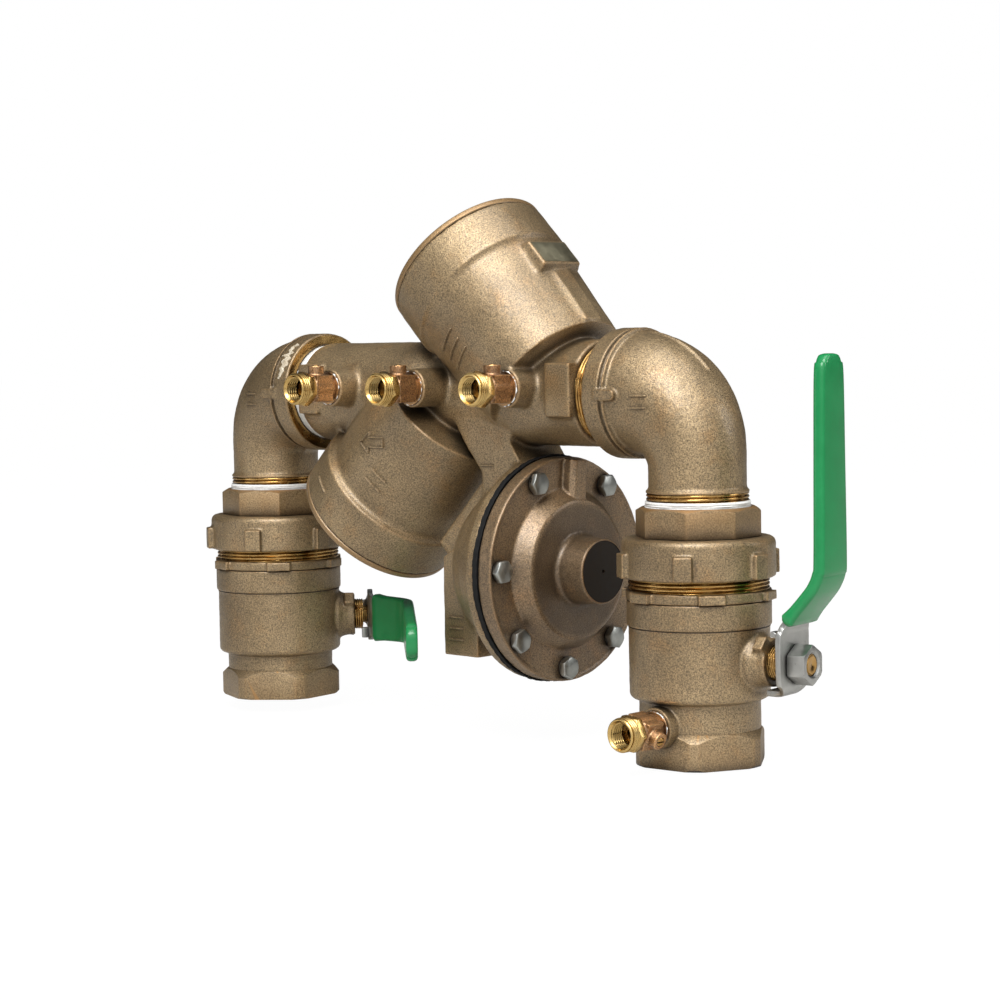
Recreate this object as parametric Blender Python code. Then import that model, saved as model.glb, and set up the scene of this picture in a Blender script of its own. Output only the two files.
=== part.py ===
"""Reduced-pressure backflow preventer, 2 inch, built from separate pieces.

The dimensions count from the axis of the pipe run, midway between the two
vertical valve axes. +X points to the inlet valve, -Y to the side that carries
the test cocks, +Z up. At the end everything is shifted so that the origin is
the middle of the foot of the bounding box. All lengths are in metres.
"""

import math

import bmesh
import bpy
from mathutils import Matrix, Vector

# ---------------------------------------------------------------- dimensions
GAP = 0.0003                 # clearance between touching pieces
MERGE = 0.00001              # corners nearer than this are one corner
PAST = 0.0020                # how far a cutter runs past what it cuts
SINK = 0.0010                # how far a joined piece sinks into its base

ORIGIN = (0.02171, -0.0053, -0.2170)    # middle of the foot of the bounding box

# Pipe run and elbows
VALVE_X = 0.1872             # valve axis to the middle of the body
PIPE_R = 0.0325
PIPE_BORE_R = 0.0255
PIPE_THREAD_R = 0.0302       # outside of a 2 inch pipe thread
PIPE_INLET_END = 0.118       # where the cast pipe ends and its thread starts
PIPE_OUTLET_END = -0.126
PIPE_THREAD_END = 0.149      # tip of both threads, from the middle
ELBOW_REACH = 0.0560         # valve axis to the elbow's socket face
ELBOW_BAND_R = 0.0392
ELBOW_BAND_LENGTH = 0.0130
ELBOW_SOCKET_DEPTH = 0.0190
ELBOW_BEND_R = 0.0420        # centre line radius of the bend
ELBOW_BODY_R = 0.0372
ELBOW_LEG_R = 0.0289
ELBOW_BEAD_R = 0.0304
ELBOW_BEAD_Z = -0.0581       # lower side of the bead above the thread
ELBOW_THREAD_END_Z = -0.0815
ELBOW_BEAD_HEIGHT = 0.0016
ELBOW_EDGE = 0.0008
ELBOW_BEND_STEPS = 6
ELBOW_TAPER_POWER = 1.3      # how the bend narrows towards the leg

# Check housings: two barrels at 45 degrees, one up and one down
CHECK_TILT = math.radians(45)
FIRST_CHECK_X = 0.0855       # where each barrel's axis meets the pipe axis
SECOND_CHECK_X = -0.0020
BARREL_START = 0.014         # distances along the barrel's axis
BARREL_BAND = 0.084
BARREL_END = 0.1133
BARREL_FOOT_R = 0.0472
BARREL_TOP_R = 0.0500
BARREL_BAND_R = 0.0544
BARREL_FILLET = 0.005
BARREL_OVERRUN = 0.004        # how far a bore runs past the parts it opens
CHAMBER_R = 0.0435
CHAMBER_START = 0.040
THROAT_R = 0.0270

# Check valve internals, distances along the barrel's axis
SEAT_RING_HEIGHT = 0.0060
SEAT_LIP_HEIGHT = 0.0030
SEAT_LIP_R = 0.0300
SEAT_BORE_R = 0.0260
DISC_R = 0.0335
DISC_THICKNESS = 0.0035
POPPET_R = 0.0350
POPPET_THICKNESS = 0.0050
POPPET_STEM_R = 0.0060
POPPET_STEM_END = 0.0970
POPPET_SPIGOT_R = 0.0050     # centres the disc on the poppet
POPPET_FILLET = 0.0040
CHECK_SPRING_R = 0.0165
CHECK_SPRING_TURNS = 5
SPRING_WIRE_R = 0.0014
COVER_RIM = 0.0042
COVER_ROUND = 0.0012
COVER_PLUG_DEPTH = 0.0130
COVER_WALL = 0.0060
COVER_GUIDE_R = 0.0100
COVER_GUIDE_DEPTH = 0.0330
COVER_HEX_FLATS = 0.0380
COVER_HEX_HEIGHT = 0.0100
COVER_GUIDE_BLIND = 0.0040   # the guide's hole runs this far into the ceiling

# Bosses, pads and the plate on the pipe and the upper barrel
PAD_HALF_Y = 0.0340
PAD_Z = (-0.0135, 0.0189)
PAD_X = ((0.0970, 0.1170), (-0.1250, -0.1070))
PLATE_LOW = (0.0400, -0.0165, 0.0575)     # in the upper barrel's frame
PLATE_HIGH = (0.0548, 0.0165, 0.0775)

# Relief valve, on an axis along +X under the body
RELIEF_Z = -0.1085
RELIEF_FLANGE_R = 0.0694
RELIEF_FLANGE_X = 0.0620
DIAPHRAGM_X = 0.0702
DIAPHRAGM_THICKNESS = 0.0024
RELIEF_RIM_X = 0.0830        # front of the cover's flange
RELIEF_STEP_X = 0.0930       # flat face around the cover's boss
RELIEF_BOSS_X = 0.1130
RELIEF_CONE_R = 0.0500
RELIEF_STEP_R = 0.0410
RELIEF_BOSS_R = 0.0200
RELIEF_NECK_R = 0.0460
RELIEF_CHAMBER_R = 0.0390
RELIEF_CHAMBER_X = 0.0360
RELIEF_PORT_R = 0.0150
RELIEF_WALL = 0.0045
RELIEF_BOLT_CIRCLE_R = 0.0608
RELIEF_BOLT_DEGREES = (-27, 35, 87, 139, 183, 229, 273)    # from the top towards +Y
RELIEF_RIB_ANGLE = math.radians(5)
RELIEF_RIB_HALF_WIDTH = 0.0075
RELIEF_RIB_HEIGHT = 0.0085
RELIEF_RIB_CHAMFER = 0.0030
RELIEF_RIB_START = 0.0400
RELIEF_VENT_HOLE_R = 0.0012  # breather in the middle of the cover's boss
RELIEF_NECK_X = 0.0200
RELIEF_PORT_X = 0.0150
RELIEF_LIFT = 0.0065         # open gap between the stem's disc and its seat
RELIEF_DISC_R = 0.0190
RELIEF_DISC_THICKNESS = 0.0040
RELIEF_STEM_R = 0.0050
RELIEF_STEM_END = 0.0060     # past the diaphragm
RELIEF_PLATE_R = 0.0330
RELIEF_PLATE_BACK = 0.0045   # from the diaphragm to the plate's back
RELIEF_PLATE_EDGE = 0.0030
RELIEF_SPRING_R = 0.0250
RELIEF_SPRING_TURNS = 4
BOLT_R = 0.0039
BOLT_FLATS = 0.0127
BOLT_HEAD = 0.0053
BOLT_DEPTH = 0.0050          # into the body's flange
VENT_X = (0.0013, 0.0310)
VENT_HALF_Y = 0.0270
VENT_FOOT_Z = -0.1650
VENT_WALL = 0.0040
WEB_HALF_Y = 0.0220
VENT_COLUMN = (              # (x, z) corners of the vent's outside
    (VENT_X[0], VENT_FOOT_Z),
    (VENT_X[1], VENT_FOOT_Z),
    (VENT_X[1], -0.0700),
    (VENT_X[0], -0.0800),
)
DUCT = (                     # (x, z) corners of the duct and its web
    (0.0035, -0.0100),
    (0.0164, -0.0300),
    (0.0317, -0.0490),
    (0.0316, -0.0690),
    (-0.0134, -0.0950),
    (-0.0018, -0.1066),
    (0.0640, -0.0900),
    (0.0640, -0.0410),
    (0.0560, -0.0290),
    (0.0600, -0.0100),
)
PASSAGE_START = (0.0100, 0, -0.0120)
PASSAGE_END = (0.0480, 0, -0.0820)
PASSAGE_R = 0.0110
OUTLET_BORE_X = -0.0600
MIDDLE_BORE_X = 0.0220

# Union and ball valve, heights along the valve axis
TAIL_TOP_Z = -0.0660
TAIL_FOOT_Z = -0.0832
TAIL_FLATS = 0.0690
TAIL_NECK_R = 0.0325
TAIL_FLANGE_R = 0.0385
TAIL_FLANGE_HEIGHT = 0.0060
TAIL_END_Z = -0.0950
BORE_R = 0.0250
UNION_TOP_Z = -0.0835
UNION_FOOT_Z = -0.1072
UNION_R = 0.0454
UNION_THREAD_R = 0.0418
UNION_LUG_COUNT = 6
UNION_LUG_WIDTH = 0.0110
UNION_LUG_R = 0.0488
UNION_LUG_TOP_Z = -0.0920
UNION_LIP = 0.0050
UNION_ROUND = 0.0018
UNION_EDGE = 0.0010
RETAINER_COLLAR_Z = (-0.1142, -0.1203)
RETAINER_COLLAR_R = 0.0430
RETAINER_SHANK_R = 0.0386
RETAINER_END_Z = -0.1310
RETAINER_LUG_HALF_WIDTH = 0.0080
RETAINER_LUG_HEIGHT = 0.0026
RETAINER_LUG_SHIFT = 0.35    # in lug pitches, against the union nut
BODY_TOP_Z = -0.1206
BODY_TOP_R = 0.0427
BODY_SEAM_Z = -0.1360
BODY_R = 0.0415
BODY_SHOULDER_Z = -0.1760
BODY_NECK_Z = -0.1790
BODY_NECK_R = 0.0358
BODY_ROUND = 0.0035
CAVITY_R = 0.0368
CAVITY_FOOT_Z = -0.1775
HEX_FLATS = 0.0680
HEX_CORNER_R = 0.0382
HEX_CHAMFER = 0.0030
PIPE_SOCKET_R = 0.0295
PIPE_SOCKET_DEPTH = 0.0175
BALL_Z = -0.1550
BALL_R = 0.0340
BALL_BORE_R = 0.0240
BALL_SEAT_R = 0.0320
BALL_SEAT_REACH = 0.0267     # from the ball's centre to the seat's back
BALL_SEAT_CONTACT_R = 0.0300
BALL_SLOT_HALF = (0.0045, 0.0090)
TANG_HALF = (0.0040, 0.0070)
STEM_SHOULDER = 0.0350
STEM_R = 0.0080
STEM_THREAD_R = 0.0063
STEM_END = 0.0757            # distances from the valve axis
STEM_TANG = 0.0280
STEM_BOSS_END = 0.0520
STEM_BOSS_R = 0.0142
STEM_BOSS_START = 0.0300
STEM_BOSS_FLARE = 0.0045
STEM_BOSS_FLARE_END = 0.0430
STOP_EAR_START = 0.0450
STOP_EAR_HALF_WIDTH = 0.0048
STOP_EAR_ANGLES = (math.radians(-135), math.radians(45))    # from the foot, about the stem
STOP_EAR_HEIGHT = 0.0042
GLAND_R = 0.0105
GLAND_START = 0.0465
GLAND_END = 0.0575
LEVER_X = 0.0627
LEVER_THICKNESS = 0.0036
LEVER_GRIP_X = 0.0880
LEVER_LENGTH = 0.1760
LEVER_PATH = (               # (along the stem, along the lever, half width)
    (0.0500, -0.0170, 0.0077),
    (0.0570, -0.0170, 0.0077),
    (0.0606, -0.0160, 0.0085),
    (LEVER_X, -0.0130, 0.0125),
    (LEVER_X, -0.0080, 0.0160),
    (LEVER_X, 0.0150, 0.0165),
    (LEVER_X + 0.0010, 0.0205, 0.0150),
    (LEVER_X + 0.0035, 0.0250, 0.0136),
    (LEVER_GRIP_X - 0.0040, 0.0450, 0.0125),
    (LEVER_GRIP_X - 0.0010, 0.0495, 0.0120),
    (LEVER_GRIP_X, 0.0550, 0.0115),
    (LEVER_GRIP_X, LEVER_LENGTH - 0.0060, 0.0090),
    (LEVER_GRIP_X, LEVER_LENGTH, 0.0055),
)
LEVER_TIP_HALF_WIDTH = 0.0055
GRIP_START = 7               # first station of the lever that the grip covers
GRIP_WALL = 0.0016
GRIP_CORNER = 0.0022
GRIP_TIP_HALF_WIDTH = 0.0045
CORNER_SHARE = 0.3           # where a rounded corner's middle point lies
LEVER_NUT_X = (0.0649, 0.0764)
LEVER_NUT_FLATS = 0.0205

# Test cocks, distances from the face of the boss each one screws into
COCK_Z = 0.0040
COCK_FACE_Y = -0.0460
COCK_X = (-0.0790, -0.0030, 0.0780)
COCK_BOSS_R = 0.0122
COCK_BOSS_START = 0.0050     # from the pipe's axis
COCK_THREAD_R = 0.0105
COCK_THREAD_DEPTH = 0.0080
COCK_R = 0.0090
COCK_END = 0.0200
COCK_COLLAR_START = 0.0030
COCK_COLLAR_END = 0.0045
COCK_STEM_AT = 0.0125
COCK_STEM_R = 0.0028
COCK_STEM_BOSS_R = 0.0052
COCK_STEM_TOP = 0.0144
COCK_BALL_R = 0.0052
COCK_SHANK_R = 0.0066
COCK_HEX_FLATS = 0.0195
COCK_HEX_END = 0.0265
COCK_MOUTH_R = 0.0094
COCK_MOUTH_BORE_R = 0.0066
COCK_MOUTH_END = 0.0340
COCK_MOUTH_EDGE = 0.0006
COCK_HEX_CORNER = math.radians(12)
COCK_BORE_R = 0.0028
COCK_CORE_BORE_R = 0.0026
COCK_PORT_R = 0.0030
COCK_PORT_DEPTH = 0.0240
COCK_SLOT = (0.0018, 0.0006, 0.0040)    # depth, half width, half length
INLET_COCK_Z = -0.1925
INLET_COCK_FACE = 0.0400     # from the valve axis
INLET_COCK_BOSS_START = 0.0280
INLET_COCK_PORT_DEPTH = 0.0180
INLET_COCK_TURN = math.radians(-20)
COCK_TURN = math.radians(90)

# Facets of round pieces
FINE = 24
MEDIUM = 16
COARSE = 8

INLET = {
    "name": "inlet",
    "side": 1,
    "stem_angle": math.radians(7),
    "lever_turn": 0.0,
    "neck_end_z": -0.1964,
    "hex_end_z": -0.2170,
    "hex_corner": math.radians(4),
    "octagon_corner": math.radians(29),
    "cock": True,
}
OUTLET = {
    "name": "outlet",
    "side": -1,
    "stem_angle": math.radians(47),
    "lever_turn": math.radians(90),
    "neck_end_z": -0.1898,
    "hex_end_z": -0.2086,
    "hex_corner": math.radians(38),
    "octagon_corner": math.radians(6),
    "cock": False,
}
UNION_LUG_ANGLE = math.radians(-2)

MATERIALS = {
    "cast_bronze": ((0.42, 0.30, 0.17), 0.55, 0.85),
    "dark_bronze": ((0.30, 0.20, 0.12), 0.55, 0.85),
    "machined_brass": ((0.78, 0.56, 0.25), 0.28, 1.0),
    "cock_bronze": ((0.50, 0.27, 0.13), 0.45, 0.9),
    "steel": ((0.62, 0.62, 0.60), 0.35, 1.0),
    "spring_steel": ((0.55, 0.55, 0.56), 0.30, 1.0),
    "green_vinyl": ((0.02, 0.30, 0.09), 0.35, 0.0),
    "black_rubber": ((0.02, 0.02, 0.02), 0.65, 0.0),
    "white_ptfe": ((0.90, 0.90, 0.88), 0.45, 0.0),
    "grey_plastic": ((0.20, 0.21, 0.22), 0.45, 0.0),
}


# ------------------------------------------------------------------- helpers
def clear_scene():
    """Remove what the file holds."""
    for obj in list(bpy.data.objects):
        bpy.data.objects.remove(obj, do_unlink=True)


def make_materials():
    """One Principled material for each finish."""
    made = {}
    for name, (colour, roughness, metallic) in MATERIALS.items():
        material = bpy.data.materials.new(name)
        material.use_nodes = True
        shader = material.node_tree.nodes["Principled BSDF"]
        shader.inputs["Base Color"].default_value = (*colour, 1.0)
        shader.inputs["Roughness"].default_value = roughness
        shader.inputs["Metallic"].default_value = metallic
        material.diffuse_color = (*colour, 1.0)
        made[name] = material
    return made


def add_object(name, bm, frame=None):
    """Turn a bmesh into an object whose local axes are the given frame."""
    bmesh.ops.recalc_face_normals(bm, faces=bm.faces)
    if bm.calc_volume(signed=True) < 0:
        bmesh.ops.reverse_faces(bm, faces=bm.faces)
    mesh = bpy.data.meshes.new(name)
    bm.to_mesh(mesh)
    bm.free()
    obj = bpy.data.objects.new(name, mesh)
    bpy.context.scene.collection.objects.link(obj)
    if frame is not None:
        obj.matrix_world = frame
    return obj


def frame_at(point, direction, side=None):
    """A frame at a point: +Z along direction, +Y as near side as it can be.

    Side is world +Y unless stated, or world +Z for a direction along Y.
    """
    z_axis = Vector(direction).normalized()
    if side is None:
        side = (0, 0, 1) if abs(z_axis.y) > 0.9 else (0, 1, 0)
    x_axis = Vector(side).cross(z_axis).normalized()
    y_axis = z_axis.cross(x_axis)
    rotation = Matrix((x_axis, y_axis, z_axis)).transposed()
    return Matrix.Translation(Vector(point)) @ rotation.to_4x4()


def turned(name, outline, segments=MEDIUM, frame=None):
    """A solid of revolution about local Z, from (radius, height) points."""
    bm = bmesh.new()
    verts = [bm.verts.new((radius, 0, height)) for radius, height in outline]
    pairs = list(zip(verts, verts[1:]))
    if outline[0][0] > 0 or outline[-1][0] > 0:
        pairs.append((verts[-1], verts[0]))
    edges = [bm.edges.new(pair) for pair in pairs]
    bmesh.ops.spin(
        bm, geom=verts + edges, cent=(0, 0, 0), axis=(0, 0, 1),
        angle=math.tau, steps=segments, use_merge=True,
    )
    bmesh.ops.remove_doubles(bm, verts=bm.verts, dist=MERGE)
    return add_object(name, bm, frame)


def hole_r(radius, segments, gap=GAP):
    """Radius of a faceted hole whose flats stay a gap clear of a round piece."""
    return (radius + gap) / math.cos(math.pi / segments)


def rod(name, radius, start, end, segments=MEDIUM, frame=None):
    """A plain cylinder along local Z."""
    outline = [(0, start), (radius, start), (radius, end), (0, end)]
    return turned(name, outline, segments, frame)


def prism(name, corners, start, end, frame=None):
    """A polygon in the local XY plane, extruded along local Z."""
    bm = bmesh.new()
    face = bm.faces.new([bm.verts.new((x, y, start)) for x, y in corners])
    raised = bmesh.ops.extrude_face_region(bm, geom=[face])
    top = [v for v in raised["geom"] if isinstance(v, bmesh.types.BMVert)]
    bmesh.ops.translate(bm, verts=top, vec=(0, 0, end - start))
    return add_object(name, bm, frame)


def polygon(sides, flats, corner_angle=0.0):
    """Corners of a regular polygon, given the distance across its flats."""
    radius = flats / 2 / math.cos(math.pi / sides)
    angles = [corner_angle + math.tau * i / sides for i in range(sides)]
    return [(radius * math.cos(a), radius * math.sin(a)) for a in angles]


def block(name, low, high, frame=None):
    """A box between two corners."""
    corners = [(low[0], low[1]), (high[0], low[1]), (high[0], high[1]), (low[0], high[1])]
    return prism(name, corners, low[2], high[2], frame)


def lofted(name, rings, frame=None):
    """A closed solid through rings of points, capped at both ends."""
    bm = bmesh.new()
    loops = [[bm.verts.new(point) for point in ring] for ring in rings]
    for lower, upper in zip(loops, loops[1:]):
        for i in range(len(lower)):
            j = (i + 1) % len(lower)
            bm.faces.new((lower[i], lower[j], upper[j], upper[i]))
    bm.faces.new(list(reversed(loops[0])))
    bm.faces.new(loops[-1])
    return add_object(name, bm, frame)


def ball(name, radius, segments=MEDIUM, frame=None):
    """A sphere about the local origin."""
    bm = bmesh.new()
    bmesh.ops.create_uvsphere(bm, u_segments=segments, v_segments=segments // 2, radius=radius)
    return add_object(name, bm, frame)


def combine(base, tool, operation):
    """Join a tool to an object or cut it out, and drop the tool."""
    bpy.context.view_layer.update()
    modifier = base.modifiers.new(operation, "BOOLEAN")
    modifier.operation = operation
    modifier.object = tool
    depsgraph = bpy.context.evaluated_depsgraph_get()
    mesh = bpy.data.meshes.new_from_object(base.evaluated_get(depsgraph))
    base.modifiers.clear()
    base.data = mesh
    weld(mesh)
    bpy.data.objects.remove(tool, do_unlink=True)
    return base


def weld(mesh):
    """Close the slivers that a Boolean can leave."""
    bm = bmesh.new()
    bm.from_mesh(mesh)
    bmesh.ops.remove_doubles(bm, verts=bm.verts, dist=MERGE)
    bmesh.ops.dissolve_degenerate(bm, edges=bm.edges, dist=MERGE)
    bm.to_mesh(mesh)
    bm.free()


def join(base, *tools):
    for tool in tools:
        combine(base, tool, "UNION")
    return base


def cut(base, *tools):
    for tool in tools:
        combine(base, tool, "DIFFERENCE")
    return base


def finish(obj, material):
    """Give an object its material and smooth round sides."""
    obj.data.materials.clear()
    obj.data.materials.append(material)
    obj.data.shade_smooth()
    obj.data.set_sharp_from_angle(angle=math.radians(32))
    return obj


# ---------------------------------------------------------------- check body
def barrel_frame(start_x, up):
    """The frame of a check housing: +Z runs out along the barrel."""
    direction = (-math.cos(CHECK_TILT), 0, up * math.sin(CHECK_TILT))
    frame = frame_at((start_x, 0, 0), direction)
    return frame if up > 0 else half_facet(frame)


def half_facet(frame):
    """The same frame, turned so that no facet edge lies in the plane Y = 0."""
    return frame @ Matrix.Rotation(math.pi / FINE, 4, "Z")


def barrel_solid(name, frame):
    """The outside of one check housing."""
    outline = [
        (0, BARREL_START),
        (BARREL_FOOT_R - BARREL_FILLET, BARREL_START),
        (BARREL_FOOT_R, BARREL_START + BARREL_FILLET),
        (BARREL_TOP_R, BARREL_BAND),
        (BARREL_BAND_R, BARREL_BAND + BARREL_FILLET / 2),
        (BARREL_BAND_R, BARREL_END),
        (0, BARREL_END),
    ]
    return turned(name, outline, FINE, frame)


def barrel_bore(name, frame):
    """The chamber of one check and the throat that leads to its seat."""
    outline = [
        (0, -BARREL_OVERRUN),
        (THROAT_R, -BARREL_OVERRUN),
        (THROAT_R, CHAMBER_START),
        (CHAMBER_R, CHAMBER_START),
        (CHAMBER_R, BARREL_END + PAST),
        (0, BARREL_END + PAST),
    ]
    return turned(name, outline, FINE, frame)


def relief_frame():
    """The frame of the relief valve: +Z runs along world +X, from x = 0."""
    return frame_at((0, 0, RELIEF_Z), (1, 0, 0))


def xz_prism(name, corners, half_width):
    """A polygon of (x, z) points, extruded both ways along Y."""
    frame = frame_at((0, 0, 0), (0, -1, 0), (0, 0, 1))
    return prism(name, corners, -half_width, half_width, frame)


def main_body(materials):
    """The casting that holds both checks and the relief valve."""
    along_x = half_facet(frame_at((0, 0, 0), (1, 0, 0)))
    pipe_outline = [
        (0, -PIPE_THREAD_END),
        (PIPE_THREAD_R, -PIPE_THREAD_END),
        (PIPE_THREAD_R, PIPE_OUTLET_END),
        (PIPE_R, PIPE_OUTLET_END),
        (PIPE_R, PIPE_INLET_END),
        (PIPE_THREAD_R, PIPE_INLET_END),
        (PIPE_THREAD_R, PIPE_THREAD_END),
        (0, PIPE_THREAD_END),
    ]
    body = turned("main_body", pipe_outline, FINE, along_x)
    first = barrel_frame(FIRST_CHECK_X, 1)
    second = barrel_frame(SECOND_CHECK_X, -1)
    join(body, barrel_solid("first_barrel", first))
    join(body, barrel_solid("second_barrel", second))
    add_bosses(body, first)
    add_relief_casting(body)
    cut(body, barrel_bore("first_bore", first), barrel_bore("second_bore", second))
    cut_waterways(body, along_x)
    return finish(body, materials["cast_bronze"])


def add_bosses(body, first):
    """Test cock bosses, wrench pads and the plate on the upper barrel."""
    for index, x in enumerate(COCK_X):
        frame = frame_at((x, 0, COCK_Z), (0, -1, 0))
        join(body, rod(f"boss_{index}", COCK_BOSS_R, COCK_BOSS_START, -COCK_FACE_Y, MEDIUM, frame))
    for x_low, x_high in PAD_X:
        low = (x_low, -PAD_HALF_Y, PAD_Z[0])
        high = (x_high, PAD_HALF_Y, PAD_Z[1])
        join(body, block("pad", low, high))
    join(body, block("plate", PLATE_LOW, PLATE_HIGH, first))


def add_relief_casting(body):
    """The relief valve's flange, neck, vent column, duct and diagonal web."""
    outline = [
        (0, RELIEF_NECK_X),
        (RELIEF_NECK_R, RELIEF_NECK_X),
        (RELIEF_NECK_R, RELIEF_FLANGE_X - RELIEF_WALL),
        (RELIEF_FLANGE_R, RELIEF_FLANGE_X),
        (RELIEF_FLANGE_R, DIAPHRAGM_X - GAP),
        (0, DIAPHRAGM_X - GAP),
    ]
    flange = turned("relief_flange", outline, FINE, relief_frame())
    join(body, flange, xz_prism("vent_column", VENT_COLUMN, VENT_HALF_Y))
    join(body, xz_prism("relief_duct", DUCT, WEB_HALF_Y))


def cut_waterways(body, along_x):
    """Pipe bores, the way between the checks, the relief port and the vent."""
    inlet_end = PIPE_THREAD_END + PAST
    cut(body, rod("inlet_bore", PIPE_BORE_R, FIRST_CHECK_X, inlet_end, FINE, along_x))
    cut(body, rod("outlet_bore", PIPE_BORE_R, -inlet_end, OUTLET_BORE_X, FINE, along_x))
    cut(body, rod("middle_bore", PIPE_BORE_R, SECOND_CHECK_X, MIDDLE_BORE_X, FINE, along_x))
    start = Vector(PASSAGE_START)
    way = Vector(PASSAGE_END) - start
    cut(body, rod("relief_passage", PASSAGE_R, 0, way.length, MEDIUM, frame_at(start, way)))
    outline = [
        (0, RELIEF_PORT_X),
        (RELIEF_PORT_R, RELIEF_PORT_X),
        (RELIEF_PORT_R, RELIEF_CHAMBER_X),
        (RELIEF_CHAMBER_R, RELIEF_CHAMBER_X),
        (RELIEF_CHAMBER_R, DIAPHRAGM_X + PAST),
        (0, DIAPHRAGM_X + PAST),
    ]
    cut(body, turned("relief_chamber", outline, FINE, relief_frame()))
    low = (VENT_X[0] + VENT_WALL, -VENT_HALF_Y + VENT_WALL, VENT_FOOT_Z - PAST)
    high = (VENT_X[1] - VENT_WALL, VENT_HALF_Y - VENT_WALL, RELIEF_Z + RELIEF_PORT_R + PAST)
    cut(body, block("vent_hollow", low, high))
    for index, x in enumerate(COCK_X):
        frame = frame_at((x, COCK_FACE_Y, COCK_Z), (0, -1, 0))
        cut_cock_hole(body, f"cock_hole_{index}", COCK_PORT_DEPTH, frame)
    for angle in relief_bolt_angles():
        frame = relief_bolt_frame(angle)
        cut(body, rod("bolt_hole", hole_r(BOLT_R, COARSE), -BOLT_DEPTH - GAP, PAST, COARSE, frame))


def cut_cock_hole(body, name, port_depth, frame):
    """The threaded hole that a test cock screws into and the port behind it."""
    radius = hole_r(COCK_THREAD_R, MEDIUM)
    cut(body, rod(name, radius, -COCK_THREAD_DEPTH - SINK, PAST, MEDIUM, frame))
    cut(body, rod(f"{name}_port", COCK_PORT_R, -port_depth, PAST, COARSE, frame))


# ----------------------------------------------------------- check internals
def check_valve(name, frame, materials):
    """Seat ring, disc, poppet, spring and cover of one check."""
    seat_top = CHAMBER_START + GAP + SEAT_RING_HEIGHT
    lip_top = seat_top + SEAT_LIP_HEIGHT
    seat = turned(f"{name}_check_seat", [
        (SEAT_BORE_R, CHAMBER_START + GAP),
        (CHAMBER_R - GAP, CHAMBER_START + GAP),
        (CHAMBER_R - GAP, seat_top),
        (SEAT_LIP_R, seat_top),
        (SEAT_LIP_R - SINK, lip_top),
        (SEAT_BORE_R, lip_top),
    ], FINE, frame)
    finish(seat, materials["grey_plastic"])
    poppet_frame = frame @ Matrix.Translation((0, 0, lip_top + GAP))
    disc = turned(f"{name}_check_disc", [
        (POPPET_SPIGOT_R, 0),
        (DISC_R, 0),
        (DISC_R, DISC_THICKNESS),
        (POPPET_SPIGOT_R, DISC_THICKNESS),
    ], MEDIUM, poppet_frame)
    finish(disc, materials["black_rubber"])
    back = DISC_THICKNESS + GAP
    plate_top = back + POPPET_THICKNESS
    stem_end = POPPET_STEM_END - lip_top
    poppet = turned(f"{name}_check_poppet", [
        (0, GAP),
        (POPPET_SPIGOT_R - GAP, GAP),
        (POPPET_SPIGOT_R - GAP, back),
        (POPPET_R, back),
        (POPPET_R, plate_top),
        (POPPET_STEM_R + POPPET_FILLET, plate_top),
        (POPPET_STEM_R, plate_top + POPPET_FILLET),
        (POPPET_STEM_R, stem_end),
        (0, stem_end),
    ], MEDIUM, poppet_frame)
    finish(poppet, materials["grey_plastic"])
    spring_span = (lip_top + GAP + plate_top, BARREL_END - COVER_PLUG_DEPTH + COVER_WALL)
    coil_name = f"{name}_check_spring"
    spring(coil_name, CHECK_SPRING_R, spring_span, CHECK_SPRING_TURNS, frame, materials)
    check_cover(f"{name}_check_cover", frame, materials)


def spring(name, radius, span, turns, frame, materials):
    """A round-wire coil between two heights, clear of both by a gap."""
    steps_per_turn = 10
    wire_sides = 4
    low = span[0] + SPRING_WIRE_R + GAP
    high = span[1] - SPRING_WIRE_R - GAP
    rings = []
    count = turns * steps_per_turn
    slope = (high - low) / turns / math.tau / radius
    for step in range(count + 1):
        angle = math.tau * step / steps_per_turn
        outward = Vector((math.cos(angle), math.sin(angle), 0))
        forward = Vector((-math.sin(angle), math.cos(angle), slope)).normalized()
        across = outward.cross(forward)
        centre = outward * radius + Vector((0, 0, low + (high - low) * step / count))
        turns_of_wire = [math.tau * i / wire_sides for i in range(wire_sides)]
        rings.append([
            centre + (outward * math.cos(a) + across * math.sin(a)) * SPRING_WIRE_R
            for a in turns_of_wire
        ])
    coil = lofted(name, rings, frame)
    return finish(coil, materials["spring_steel"])


def check_cover(name, frame, materials):
    """A screwed cover with a plug, a guide for the poppet's stem and a hex."""
    seam = BARREL_END + GAP
    plug_foot = BARREL_END - COVER_PLUG_DEPTH
    ceiling = plug_foot + COVER_WALL
    guide_foot = BARREL_END - COVER_GUIDE_DEPTH
    plug_r = CHAMBER_R - GAP
    guide_r = hole_r(POPPET_STEM_R, FINE)
    rim_round = COVER_ROUND
    hex_top = seam + COVER_RIM + COVER_HEX_HEIGHT
    cover = turned(name, [
        (0, ceiling + COVER_GUIDE_BLIND),
        (guide_r, ceiling + COVER_GUIDE_BLIND),
        (guide_r, guide_foot),
        (COVER_GUIDE_R, guide_foot),
        (COVER_GUIDE_R, ceiling),
        (plug_r - COVER_WALL, ceiling),
        (plug_r - COVER_WALL, plug_foot),
        (plug_r, plug_foot),
        (plug_r, seam),
        (BARREL_BAND_R, seam),
        (BARREL_BAND_R, seam + COVER_RIM - rim_round),
        (BARREL_BAND_R - rim_round, seam + COVER_RIM),
        (0, seam + COVER_RIM),
    ], FINE, frame)
    join(cover, prism("cover_hex", polygon(6, COVER_HEX_FLATS), seam, hex_top, frame))
    return finish(cover, materials["cast_bronze"])


# -------------------------------------------------------------- relief valve
def relief_bolt_angles():
    """Angles of the cover bolts from straight up, towards +Y."""
    return [math.radians(degrees) for degrees in RELIEF_BOLT_DEGREES]


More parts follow.
